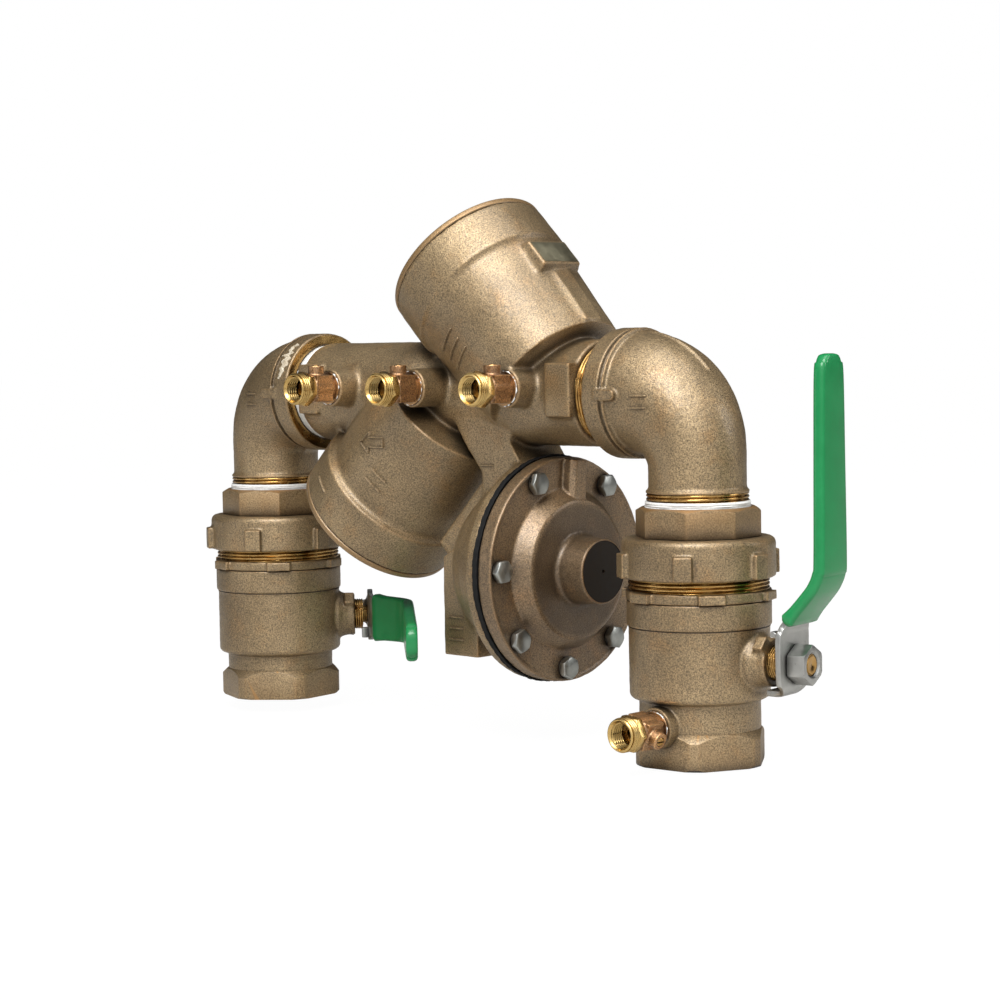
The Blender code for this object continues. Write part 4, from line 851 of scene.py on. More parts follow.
GROUND = machined_metal("ground_bronze", (0.27, 0.25, 0.17), (0.19, 0.17, 0.11), 0.42, 0.5, 0.85)
SPRING = machined_metal("spring_steel", (0.60, 0.60, 0.60), (0.45, 0.45, 0.46), 0.30)
VINYL = plain_finish(
    "green_vinyl", (0.008, 0.235, 0.068), (0.006, 0.205, 0.058), 0.34, 0.5, 0.02, 60.0)
RUBBER = plain_finish("black_rubber", (0.008, 0.008, 0.008), (0.004, 0.004, 0.004), 0.8)
TAPE = plain_finish("white_tape", (0.88, 0.88, 0.86), (0.74, 0.74, 0.72), 0.5, 0.0, 0.5, 500.0)
SCRAP = plain_finish("tape_scrap", (0.62, 0.56, 0.45), (0.42, 0.34, 0.23), 0.5, 0.0, 0.6, 400.0)
PTFE = plain_finish("white_ptfe", (0.85, 0.85, 0.83), (0.75, 0.75, 0.73), 0.4)
PLASTIC = plain_finish("grey_plastic", (0.16, 0.17, 0.18), (0.11, 0.12, 0.13), 0.45)


# --------------------------------------------------------------- the casting
def barrel_frame(start_x, up):
    direction = (-math.cos(CHECK_TILT), 0, up * math.sin(CHECK_TILT))
    return frame_at((start_x, 0, 0), direction)


FIRST = barrel_frame(FIRST_CHECK_X, 1)
SECOND = barrel_frame(SECOND_CHECK_X, -1)
ALONG_X = frame_at((0, 0, 0), (1, 0, 0))
RELIEF = frame_at((0, 0, RELIEF_Z), (1, 0, 0))


def barrel(place, top_r):
    """The outside of one check housing, with a concave step under its band."""
    return turned([
        (0, BARREL_START),
        (BARREL_FOOT_R, BARREL_START),
        (top_r, BARREL_BAND),
        (BARREL_BAND_R - 0.0004, BARREL_BAND + 0.0010),
        (BARREL_BAND_R, BARREL_BAND + 0.0020),
        (BARREL_BAND_R, BARREL_END),
        (0, BARREL_END),
    ], place, ROUND * 2)


def barrel_plate():
    """The raised plate on the upper barrel, wider at its foot."""
    foot_x = BARREL_TOP_R[0] - 0.010
    flare = PLATE_FLARE
    rings = []
    for x, more in ((foot_x, flare * 2), (PLATE_TOP, 0.0)):
        half = PLATE_HALF_Y + more
        low, high = PLATE_S[0] - more, PLATE_S[1] + more
        rings.append([(x, -half, low), (x, half, low), (x, half, high), (x, -half, high)])
    return loft(rings, FIRST)


def barrel_rib():
    """A low flat rib along the upper barrel, from its foot to the plate."""
    rings = []
    for height, share in ((BARREL_START + 0.0015, 0.0), (PLATE_S[0] + 0.002, 0.62)):
        surface = BARREL_FOOT_R + (BARREL_TOP_R[0] - BARREL_FOOT_R) * share
        top, root = surface + RIB_HEIGHT, surface - 0.008
        inner = RIB_HALF_Y - 0.0012
        outer = RIB_HALF_Y + 0.0016
        rings.append([
            (root, -outer, height), (root, outer, height),
            (top, inner, height), (top, -inner, height),
        ])
    return loft(rings, FIRST)


def relief_casting():
    """Flange, neck, vent column, duct and web around the relief valve."""
    flange = turned([
        *BOWL,
        (RELIEF_FLANGE_R, RELIEF_FLANGE_X + 0.001),
        (RELIEF_FLANGE_R, DIAPHRAGM_X - GAP),
        (0, DIAPHRAGM_X - GAP),
    ], RELIEF, ROUND * 2)
    web = xz_prism(WEB, WEB_HALF_Y)
    return [flange, web, xz_prism(VENT_COLUMN, VENT_HALF_Y), xz_prism(DUCT, DUCT_HALF_Y)]


def main_casting():
    """The body that holds both checks and the relief valve, with its bores."""
    edge = 0.0010
    parts = [turned([
        (0, PIPE_OUTLET_END),
        (PIPE_R - edge, PIPE_OUTLET_END),
        (PIPE_R, PIPE_OUTLET_END + edge),
        *[(PIPE_R - PIPE_WAIST * share, x) for x, share in WAIST],
        (PIPE_R, PIPE_INLET_END - edge),
        (PIPE_R - edge, PIPE_INLET_END),
        (0, PIPE_INLET_END),
    ], ALONG_X, ROUND * 2)]
    parts += [barrel(FIRST, BARREL_TOP_R[0]), barrel(SECOND, BARREL_TOP_R[1]), barrel_plate()]
    parts.append(barrel_rib())
    for x in COCK_X:
        boss = frame_at((x, 0, COCK_Z), (0, -1, 0))
        parts.append(rod(COCK_BOSS_R, COCK_BOSS_START, -COCK_FACE_Y + COCK_BOSS_RAISE, boss))
    for low, high in PAD_X:
        parts.append(block((low, -PAD_HALF_Y, PAD_Z[0]), (high, PAD_HALF_Y, PAD_Z[1])))
    parts += relief_casting()
    return cast(parts, COARSE_GRID)


def vent_cavity():
    """The inside of the vent column, one wall below its sloping top."""
    right_top, left_top = VENT_COLUMN[2][1], VENT_COLUMN[3][1]
    slope = (right_top - left_top) / (VENT_X[1] - VENT_X[0])
    lower = VENT_WALL * math.hypot(1, slope)
    left, right = VENT_X[0] + VENT_WALL, VENT_X[1] - VENT_WALL
    return (
        (left, VENT_FOOT_Z - PAST),
        (right, VENT_FOOT_Z - PAST),
        (right, right_top - slope * VENT_WALL - lower),
        (left, left_top + slope * VENT_WALL - lower),
    )


def carve_casting(body):
    """The chambers and waterways of the main casting."""
    tools = []
    for place in (FIRST, SECOND):
        tools.append(stepped(-PAST, [
            (THROAT_R - PIPE_WAIST, BARREL_START + PAST),
            (THROAT_R, CHAMBER_START),
            (CHAMBER_R, BARREL_END + PAST),
        ], place))
    tools.append(rod(PIPE_BORE_R, FIRST_CHECK_X, PIPE_THREAD_END, ALONG_X))
    tools.append(rod(PIPE_BORE_R, -PIPE_THREAD_END, -0.060, ALONG_X))
    tools.append(rod(PIPE_BORE_R - PIPE_WAIST, SECOND_CHECK_X, 0.022, ALONG_X))
    way = Vector(PASSAGE_END) - Vector(PASSAGE_START)
    tools.append(rod(PASSAGE_R, 0, way.length, frame_at(PASSAGE_START, way), SMALL_ROUND))
    tools.append(stepped(RELIEF_PORT_X, [
        (RELIEF_PORT_R, RELIEF_CHAMBER_X),
        (RELIEF_CHAMBER_R, DIAPHRAGM_X + PAST),
    ], RELIEF))
    tools.append(xz_prism(vent_cavity(), VENT_HALF_Y - VENT_WALL))
    for x in COCK_X:
        face = frame_at((x, COCK_FACE_Y, COCK_Z), (0, -1, 0))
        depth, top = -COCK_THREAD_DEPTH - GAP, COCK_BOSS_RAISE + PAST
        tools.append(rod(COCK_THREAD_R + GAP, depth, top, face, SMALL_ROUND))
    return combine(body, tools, "DIFFERENCE")


def raised_line(points, surface, toward, width=0.0018, height=0.0012):
    """A raised cast line along points, laid on a surface."""
    toward = Vector(toward).normalized()
    dense = []
    for start, end in zip(points, points[1:]):
        steps = max(int((end - start).length / 0.0008), 1)
        dense += [start.lerp(end, step / steps) for step in range(steps)]
    dense.append(points[-1])
    spots = []
    for point in dense:
        place, normal, _, _ = surface.ray_cast(point + toward * 0.09, -toward)
        if place is not None:
            spots.append((place, normal))
    rings = []
    last = len(spots) - 1
    for index, (place, normal) in enumerate(spots):
        ahead = spots[min(index + 1, last)][0] - spots[max(index - 1, 0)][0]
        across = ahead.normalized().cross(normal).normalized()
        share = min(1.0, (0.35 + min(index, last - index)) / 1.5)
        rings.append([
            place + across * (width / 2 * side * share) + normal * (height * up * share)
            for side, up in ((1, -0.5), (0.8, 0.3), (0.35, 1), (-0.35, 1), (-0.8, 0.3), (-1, -0.5))
        ])
    return loft(rings)


def polyline(centre, first, second, path):
    return [Vector(centre) + Vector(first) * u + Vector(second) * v for u, v in path]


def surface_of(obj):
    bpy.context.view_layer.update()
    return BVHTree.FromObject(obj, bpy.context.evaluated_depsgraph_get())


def casting_marks(surface):
    """Plain raised marks: a flow arrow and straight bars."""
    front, across, up = (0, -1, 0), (1, 0, 0), (0, 0, 1)
    lines = []
    duct = (0.0368, 0, -0.0445)
    vent = (0.0125, 0, -0.1545)
    for centre, rises in ((duct, (0.0,)), (vent, (0.0, 0.0070, 0.0140))):
        for rise in rises:
            points = polyline(centre, across, up, [(-0.0065, rise), (0.0065, rise)])
            lines.append(raised_line(points, surface, front))
    down = Vector((-math.cos(CHECK_TILT), 0, -math.sin(CHECK_TILT)))
    across_down = Vector((math.sin(CHECK_TILT), 0, -math.cos(CHECK_TILT)))
    second = Vector((SECOND_CHECK_X, 0, 0))
    arrow = [
        (-0.0090, 0.0030), (0.0040, 0.0030), (0.0040, 0.0065), (0.0125, 0.0),
        (0.0040, -0.0065), (0.0040, -0.0030), (-0.0090, -0.0030), (-0.0090, 0.0030),
    ]
    points = polyline(second + down * 0.047 - across_down * 0.004, (-1, 0, 0), up, arrow)
    lines.append(raised_line(points, surface, front))
    for far, low, high in ((0.0600, 0.0060, 0.0200), (0.0680, 0.0060, 0.0200),
                           (0.0985, -0.0240, -0.0090)):
        points = polyline(second, down, across_down, [(far, low), (far, high)])
        lines.append(raised_line(points, surface, front))
    up_left = Vector((-math.cos(CHECK_TILT), 0, math.sin(CHECK_TILT)))
    across_up = Vector((math.sin(CHECK_TILT), 0, math.cos(CHECK_TILT)))
    first = Vector((FIRST_CHECK_X, 0, 0))
    for far in (0.0480, 0.0560, 0.0640):
        points = polyline(first, up_left, across_up, [(far, -0.0260), (far, -0.0060)])
        lines.append(raised_line(points, surface, front, 0.0022))
    return gathered(lines)


def check_cover(name, place):
    """A screwed cover: rim, plug, guide and a hexagon to turn it by."""
    seam = BARREL_END + GAP
    top = seam + COVER_RIM
    plug_foot = BARREL_END - COVER_PLUG_DEPTH
    ceiling = plug_foot + COVER_WALL
    guide_foot = BARREL_END - COVER_GUIDE_DEPTH
    plug_r = CHAMBER_R - GAP
    rim_r = BARREL_BAND_R - 0.0002
    cover = turned([
        (0, ceiling + 0.004),
        (COVER_GUIDE_BORE_R, ceiling + 0.004),
        (COVER_GUIDE_BORE_R, guide_foot),
        (COVER_GUIDE_R, guide_foot),
        (COVER_GUIDE_R, ceiling),
        (plug_r - COVER_WALL, ceiling),
        (plug_r - COVER_WALL, plug_foot),
        (plug_r, plug_foot),
        (plug_r, seam),
        (rim_r - 0.0006, seam),
        (rim_r, seam + 0.0006),
        (rim_r, top - 0.0010),
        (rim_r - 0.0004, top - 0.0004),
        (rim_r - 0.0012, top),
        (COVER_HEX_FLATS * 0.62, top),
        (0, top),
    ], place, ROUND * 2)
    publish(cover, name, BRONZE, replaced=[name])
    hexagon = chamfered(
        6, COVER_HEX_FLATS, seam, top + COVER_HEX_HEIGHT, 0.001, 0.0, place, False)
    publish(eased(hexagon, 0.0008), f"{name}_hexagon", BRONZE)


# -------------------------------------------------------------- relief valve
def sensing_rib():
    """The radial rib across the cover's flange."""
    half_width = RELIEF_RIB_HALF_WIDTH
    top = RELIEF_RIM_X + RELIEF_RIB_HEIGHT
    foot = RELIEF_RIM_X - RELIEF_WALL
    outline = [
        (-half_width, foot),
        (half_width, foot),
        (half_width, top - RELIEF_RIB_CHAMFER),
        (half_width - RELIEF_RIB_CHAMFER, top),
        (RELIEF_RIB_CHAMFER - half_width, top),
        (-half_width, top - RELIEF_RIB_CHAMFER),
    ]
    outward = Vector((0, math.sin(RELIEF_RIB_ANGLE), math.cos(RELIEF_RIB_ANGLE)))
    place = frame_at((0, 0, RELIEF_Z), outward, (1, 0, 0))
    return prism(outline, RELIEF_RIB_START, RELIEF_FLANGE_R - PAST, place)


def relief_valve():
    """Cover, diaphragm edge and bolts."""
    back = DIAPHRAGM_X + DIAPHRAGM_THICKNESS + GAP
    edge = 0.0010
    cover = cast([turned([
        (0, back),
        (RELIEF_FLANGE_R - edge, back),
        (RELIEF_FLANGE_R, back + edge),
        (RELIEF_FLANGE_R, RELIEF_RIM_X - edge / 2),
        (RELIEF_FLANGE_R - edge / 2, RELIEF_RIM_X + edge / 2),
        (RELIEF_FLANGE_R - 2 * edge, RELIEF_RIM_X + edge / 2),
        (RELIEF_FLANGE_R - 3 * edge, RELIEF_RIM_X - edge / 4),
        (RELIEF_CONE_R, RELIEF_RIM_X - edge / 4),
        (RELIEF_STEP_R + 0.002, RELIEF_STEP_X - 0.0006),
        (RELIEF_STEP_R, RELIEF_STEP_X),
        (RELIEF_BOSS_R + 3 * edge, RELIEF_STEP_X),
        (RELIEF_BOSS_R + edge, RELIEF_STEP_X + 2 * edge),
        (RELIEF_BOSS_R, RELIEF_BOSS_X - edge / 2),
        (RELIEF_BOSS_R - edge / 2, RELIEF_BOSS_X),
        (0, RELIEF_BOSS_X),
    ], RELIEF, ROUND * 2), sensing_rib()], FINE_GRID, 6, 2)
    hollow = turned([
        (0, back - PAST),
        (RELIEF_CONE_R - RELIEF_WALL, back - PAST),
        (RELIEF_CONE_R - RELIEF_WALL, back),
        (RELIEF_STEP_R - RELIEF_WALL, RELIEF_STEP_X - RELIEF_WALL),
        (RELIEF_BOSS_R - RELIEF_WALL, RELIEF_STEP_X - RELIEF_WALL),
        (RELIEF_BOSS_R - RELIEF_WALL, RELIEF_BOSS_X - RELIEF_WALL),
        (0, RELIEF_BOSS_X - RELIEF_WALL),
    ], RELIEF)
    hole = rod(RELIEF_VENT_HOLE_R, RELIEF_STEP_X, RELIEF_BOSS_X + PAST, RELIEF, 24)
    dish = rod(RELIEF_BOSS_R - edge, RELIEF_BOSS_X - edge / 2, RELIEF_BOSS_X + PAST, RELIEF)
    combine(cover, [hollow, hole, dish], "DIFFERENCE")
    publish(cover, "relief_cover_casting", DARK_BRONZE, replaced=["relief_cover"])

    end = turned([
        (RELIEF_VENT_HOLE_R, RELIEF_BOSS_X - edge / 2),
        (RELIEF_BOSS_R - edge - 0.0001, RELIEF_BOSS_X - edge / 2),
        (RELIEF_BOSS_R - edge - 0.0003, RELIEF_BOSS_X - edge / 4),
        (RELIEF_VENT_HOLE_R, RELIEF_BOSS_X - edge / 4),
    ], RELIEF)
    publish(end, "relief_cover_end", DARK_END_COLOUR)

    def ridged(angle, radius, height):
        notch = 0.00025 * (math.sin(angle * 64) > 0.3)
        swell = 0.0002 * math.sin(angle * 7) + 0.00015 * math.sin(angle * 17)
        return radius + swell - notch if radius > RELIEF_FLANGE_R + 2 * GAP else radius

    front = DIAPHRAGM_X + DIAPHRAGM_THICKNESS
    near = RELIEF_FLANGE_R + GAP
    far = RELIEF_FLANGE_R + DIAPHRAGM_LIP
    edge_ring = turned([
        (0.0053, DIAPHRAGM_X),
        (near, DIAPHRAGM_X),
        (near, DIAPHRAGM_X - 0.0005),
        (far - 0.0003, DIAPHRAGM_X - 0.0007),
        (far, DIAPHRAGM_X - 0.0003),
        (far - 0.0003, DIAPHRAGM_X + DIAPHRAGM_THICKNESS / 2),
        (far, front + 0.0003),
        (far - 0.0003, front + 0.0007),
        (near, front + 0.0005),
        (near, front),
        (0.0053, front),
    ], RELIEF, ROUND * 6, ridged)
    publish(edge_ring, "relief_diaphragm_sheet", RUBBER,
            replaced=["relief_diaphragm"])
    for number, degrees in enumerate(RELIEF_BOLT_DEGREES, 1):
        relief_bolt(number, math.radians(degrees))


def relief_bolt(number, angle):
    """A hexagon bolt with a washer face and chamfered corners."""
    y = RELIEF_BOLT_CIRCLE_R * math.sin(angle)
    z = RELIEF_Z + RELIEF_BOLT_CIRCLE_R * math.cos(angle)
    place = frame_at((RELIEF_RIM_X + GAP, y, z), (1, 0, 0))
    head = chamfered(6, BOLT_FLATS, 0.0004, BOLT_HEAD, 0.0006, angle, place)
    face = rod(BOLT_FLATS / 2 - 0.0002, 0, 0.0006, place, SMALL_ROUND)
    bolt = combine(eased(head, 0.0003), [face], "UNION")
    name = f"relief_bolt_{number}"
    publish(bolt, f"{name}_head", ZINC, replaced=[name])


# -------------------------------------------------------------------- elbows
def circle_ring(centre, normal, radius, segments=ROUND):
    across = Vector((0, 1, 0))
    up = normal.cross(across)
    angles = [math.tau * i / segments for i in range(segments)]
    return [centre + (across * math.cos(a) + up * math.sin(a)) * radius for a in angles]


def bend_station(side, share):
    """Centre and direction of the bend's middle line, from 0 to 1 along it."""
    angle = math.pi / 2 * share
    centre = Vector((
        side * ELBOW_BEND_R * (math.sin(angle) - 1),
        0,
        ELBOW_BEND_R * (math.cos(angle) - 1),
    ))
    return centre, Vector((side * math.cos(angle), 0, -math.sin(angle)))


def elbow_r(normal, level):
    taper = ELBOW_BODY_R - ELBOW_LEG_R
    return ELBOW_LEG_R + taper * max(normal.dot(level), 0) ** ELBOW_TAPER_POWER


def parting_rib(side, place):
    """The mould's parting line along the outside of the bend."""
    level = Vector((side, 0, 0))
    rings = []
    for step in range(ELBOW_BEND_STEPS + 1):
        share = 0.05 + 0.93 * step / ELBOW_BEND_STEPS
        centre, normal = bend_station(side, share)
        outward = Vector((0, 1, 0)).cross(normal) * side
        if outward.z < 0 and share < 0.5:
            outward = -outward
        fade = min(1.0, 5 * (1 - step / ELBOW_BEND_STEPS))
        top = elbow_r(normal, level) + 0.0011 * fade
        half = Vector((0, 0.0009, 0))
        rings.append([
            centre + outward * (top - 0.004) - half * 2,
            centre + outward * (top - 0.004) + half * 2,
            centre + outward * top + half,
            centre + outward * top - half,
        ])
    return loft(rings, place)


def elbow(valve):
    """A street elbow: socket towards the body, threaded leg downwards."""
    side = valve["side"]
    name = valve["name"]
    level = Vector((side, 0, 0))
    place = upright_frame(valve)
    outside = [
        (ELBOW_REACH, ELBOW_BAND_R - 0.0008),
        (ELBOW_REACH - 0.0008, ELBOW_BAND_R),
        (ELBOW_BAND_END + 0.0006, ELBOW_BAND_R),
        (ELBOW_BAND_END, ELBOW_BODY_R),
    ]
    rings = [circle_ring(-level * x, level, radius) for x, radius in outside]
    for step in range(1, ELBOW_BEND_STEPS + 1):
        centre, normal = bend_station(side, step / ELBOW_BEND_STEPS)
        rings.append(circle_ring(centre, normal, elbow_r(normal, level)))
    down = Vector((0, 0, -1))
    leg = [
        (ELBOW_BEAD_Z + ELBOW_BEAD_HEIGHT + 0.0008, ELBOW_LEG_R),
        (ELBOW_BEAD_Z + ELBOW_BEAD_HEIGHT, ELBOW_BEAD_R),
        (ELBOW_BEAD_Z, ELBOW_BEAD_R),
    ]
    rings += [circle_ring(Vector((0, 0, z)), down, radius) for z, radius in leg]
    ridge = turned([
        (ELBOW_BODY_R - 0.004, -0.0010),
        (ELBOW_BAND_R, -0.0008),
        (ELBOW_BAND_R, 0.0008),
        (ELBOW_BODY_R - 0.004, 0.0010),
    ], place @ frame_at(-level * (ELBOW_BAND_END - 0.0030), level))
    parts = [loft(rings, place), ridge, parting_rib(side, place)]
    lug_end = -side * (ELBOW_BAND_END - 0.0095)
    lug_x = sorted((-side * (ELBOW_BAND_END + 0.003), lug_end))
    for face in (-1, 1):
        lug_y = sorted((face * (ELBOW_BODY_R - 0.004), face * (ELBOW_BAND_R + 0.0006)))
        parts.append(block((lug_x[0], lug_y[0], -0.0033), (lug_x[1], lug_y[1], 0.0033), place))
        knob = place @ frame_at((lug_end, 0, 0), (0, face, 0))
        parts.append(rod(0.0033, ELBOW_BODY_R - 0.004, ELBOW_BAND_R + 0.0006, knob, SMALL_ROUND))
    body = cast(parts, FINE_GRID, 8, 3)
    surface = surface_of(body)
    bore = [circle_ring(-level * (ELBOW_REACH + PAST), level, BORE_R)]
    for step in range(ELBOW_BEND_STEPS + 1):
        centre, normal = bend_station(side, step / ELBOW_BEND_STEPS)
        bore.append(circle_ring(centre, normal, BORE_R))
    bore.append(circle_ring(Vector((0, 0, ELBOW_THREAD_END_Z - PAST)), down, BORE_R))
    socket = frame_at((side * (VALVE_X - ELBOW_REACH), 0, 0), (side, 0, 0))
    hole = rod(PIPE_THREAD_R + GAP * 2, -PAST, ELBOW_SOCKET_DEPTH, socket)
    combine(body, [loft(bore, place), hole], "DIFFERENCE")
    publish(body, f"{name}_elbow_casting", BRONZE, replaced=[f"{name}_elbow"])
    face = turned([
        (PIPE_THREAD_R + 0.0010, 0.0010),
        (PIPE_THREAD_R + 0.0022, -0.0002),
        (ELBOW_BAND_R - 0.0012, -0.0002),
        (ELBOW_BAND_R - 0.0009, 0.0010),
    ], socket)
    publish(face, f"{name}_elbow_socket_face", BRASS)
    leg_thread = thread(
        PIPE_THREAD_R, THREAD_DEPTH, PIPE_PITCH, ELBOW_THREAD_END_Z,
        ELBOW_BEAD_Z + GAP, place, BORE_R)
    publish(leg_thread, f"{name}_elbow_thread", BRASS)
    tape = tape_ring(place, TAIL_TOP_Z - 0.0006, ELBOW_BEAD_Z - 0.0044, side)
    publish(tape, f"{name}_elbow_tape", TAPE)
    marks = elbow_marks(valve, surface)
    publish(marks, f"{name}_elbow_marks", MARK_BRONZE)


def elbow_marks(valve, surface):
    """Two plain level bars on the front of the bend."""
    base = upright_frame(valve) @ Vector((-valve["side"] * 0.016, 0, -0.004))
    lines = []
    for rise in (-0.0035, 0.0035):
        points = polyline(base, (1, 0, 0), (0, 0, 1), [(-0.006, rise), (0.006, rise)])
        lines.append(raised_line(points, surface, (0, -1, 0)))
    return gathered(lines)


def torn_edge(valve):
    """A torn scrap of sealing tape stuck along the socket's edge."""
    level = Vector((valve["side"], 0, 0))
    rings = []
    steps = 40
    for step in range(steps + 1):
        share = step / steps
        angle = math.radians(34 + 42 * share)
        out = Vector((0, -math.sin(angle), math.cos(angle)))
        point = Vector((share * 9.0, 0.0, 3.0))
        width = 0.0012 + 0.0032 * abs(noise.noise(point)) + 0.0022 * math.sin(math.pi * share)
        height = 0.0006 + 0.0016 * abs(noise.noise(point * 1.7 + Vector((5, 0, 0))))
        centre = -level * (ELBOW_BAND_END + 0.0060) + out * (ELBOW_BAND_R - 0.0003)
        shift = level * (0.0030 * noise.noise(point * 1.3 + Vector((0, 7, 0))))
        rings.append([
            centre + shift - level * width,
            centre + shift - level * width * 0.5 + out * height,
            centre + shift + level * width * 0.3 + out * height * 0.6,
            centre + shift + level * width,
            centre + shift - out * 0.0006,
        ])
    return loft(rings, upright_frame(valve))


def tape_ring(place, low, high, seed):
    """Sealing tape wound on a thread, with uneven layers."""
    def wrap(angle, radius, height):
        if radius < PIPE_THREAD_R:
            return radius
        point = Vector((math.cos(angle) * 3, math.sin(angle) * 3, height * 900 + seed))
        return radius + 0.00035 * noise.noise(point)

    layers = 7
    outline = [(PIPE_THREAD_R - 0.0008, low)]
    for layer in range(layers + 1):
        height = low + (high - low) * layer / layers
        step = 0.00025 * (layer % 2)
        inset = 0.0004 if layer in (0, layers) else 0.0
        outline.append((PIPE_THREAD_R + 0.0007 + step - inset, height))
    outline.append((PIPE_THREAD_R - 0.0008, high))
    return turned(outline, place, ROUND, wrap)


# ---------------------------------------------------------------- ball valve
def valve_frame(valve):
    place = Matrix.Translation((valve["side"] * VALVE_X, 0, 0))
    return place @ Matrix.Rotation(valve["stem_angle"], 4, "Z")


def upright_frame(valve):
    return Matrix.Translation((valve["side"] * VALVE_X, 0, 0))


def stem_frame(valve):
    place = valve_frame(valve) @ Matrix.Translation((0, 0, BALL_Z))
    return place @ Matrix.Rotation(valve["lever_turn"], 4, "X")


def tailpiece(valve):
    """The octagonal union tail that the elbow screws into."""
    place = upright_frame(valve)
    name = valve["name"]
    tail = chamfered(
        8, TAIL_FLATS, TAIL_FOOT_Z, TAIL_TOP_Z, 0.0012, valve["octagon_corner"], place, False)
    shank = stepped(TAIL_END_Z, [
        (TAIL_FLANGE_R, TAIL_END_Z + TAIL_FLANGE_HEIGHT),
        (TAIL_NECK_R, TAIL_FOOT_Z + TAIL_SINK),
    ], place)
    bore = turned([
        (0, TAIL_END_Z - PAST),
        (BORE_R, TAIL_END_Z - PAST),
        (BORE_R, ELBOW_THREAD_END_Z - 0.001),
        (PIPE_THREAD_R + GAP, ELBOW_THREAD_END_Z - 0.001),
        (PIPE_THREAD_R + GAP, TAIL_TOP_Z - 0.0012),
        (PIPE_THREAD_R + 0.0016, TAIL_TOP_Z + 0.0002),
        (PIPE_THREAD_R + 0.0016, TAIL_TOP_Z + PAST),
        (0, TAIL_TOP_Z + PAST),
    ], place)
    eased(tail, 0.0006)
    combine(tail, [shank], "UNION")
    combine(tail, [bore], "DIFFERENCE")
    publish(tail, f"{name}_union_tail", BRONZE,
            replaced=[f"{name}_union_tailpiece"])


def union_nut(valve):
    """The round union nut: a domed shoulder and six cast lugs."""
    place = upright_frame(valve)
    name = valve["name"]
    shoulder = UNION_ROUND
    parts = [turned([
        (0, UNION_TOP_Z),
        (UNION_R - shoulder, UNION_TOP_Z),
        (UNION_R - shoulder * 0.4, UNION_TOP_Z - shoulder * 0.18),
        (UNION_R - shoulder * 0.1, UNION_TOP_Z - shoulder * 0.55),
        (UNION_R, UNION_TOP_Z - shoulder),
        (UNION_R, UNION_FOOT_Z + 0.001),
        (UNION_R - 0.001, UNION_FOOT_Z),
        (0, UNION_FOOT_Z),
    ], place)]
    for index in range(UNION_LUG_COUNT):
        angle = UNION_LUG_ANGLE + math.tau * index / UNION_LUG_COUNT
        turn = place @ Matrix.Rotation(angle, 4, "Z")
        low = (UNION_R - 0.004, -UNION_LUG_WIDTH / 2, UNION_FOOT_Z + 0.0008)
        high = (UNION_LUG_R, UNION_LUG_WIDTH / 2, UNION_LUG_TOP_Z)
        parts.append(block(low, high, turn))
    nut = cast(parts, FINE_GRID, 12, 3)
    hollow = stepped(UNION_FOOT_Z - PAST, [
        (UNION_THREAD_R + 0.0005, UNION_TOP_Z - UNION_LIP),
        (TAIL_NECK_R + 2 * GAP, UNION_TOP_Z + PAST),
    ], place)
    combine(nut, [hollow], "DIFFERENCE")
    publish(nut, f"{name}_union_ring_nut", BRONZE, f"{name}_union_ring",
            [f"{name}_union_nut"])


def retainer(valve):
    """The valve's screwed end: the union's thread over a notched collar."""
    place = upright_frame(valve)
    name = valve["name"]
    collar_top, collar_foot = COLLAR_Z
    screw = thread(
        UNION_THREAD_R, 0.0010, 0.0023, collar_top + 0.0002, TAIL_END_Z - GAP, place, BORE_R)
    publish(screw, f"{name}_union_thread", BRASS)
    parts = [turned([
        (BORE_R, collar_top),
        (COLLAR_R - 0.0006, collar_top),
        (COLLAR_R, collar_top - 0.0006),
        (COLLAR_R, collar_foot + 0.0006),
        (COLLAR_R - 0.0006, collar_foot),
        (BORE_R, collar_foot),
    ], place)]
    for index in range(UNION_LUG_COUNT):
        turn = UNION_LUG_ANGLE + math.tau * (index + COLLAR_LUG_SHIFT) / UNION_LUG_COUNT
        lug_place = place @ Matrix.Rotation(turn, 4, "Z")
        low = (COLLAR_R - 0.004, -COLLAR_LUG_HALF_WIDTH, collar_foot + GAP)
        high = (COLLAR_R + COLLAR_LUG_HEIGHT, COLLAR_LUG_HALF_WIDTH, collar_top - GAP)
        parts.append(block(low, high, lug_place))
    collar = cast(parts, FINE_GRID, 6, 2, WAVE_HEIGHT * 1.6)
    publish(collar, f"{name}_retainer_collar", BRONZE,
            replaced=[f"{name}_valve_retainer"])


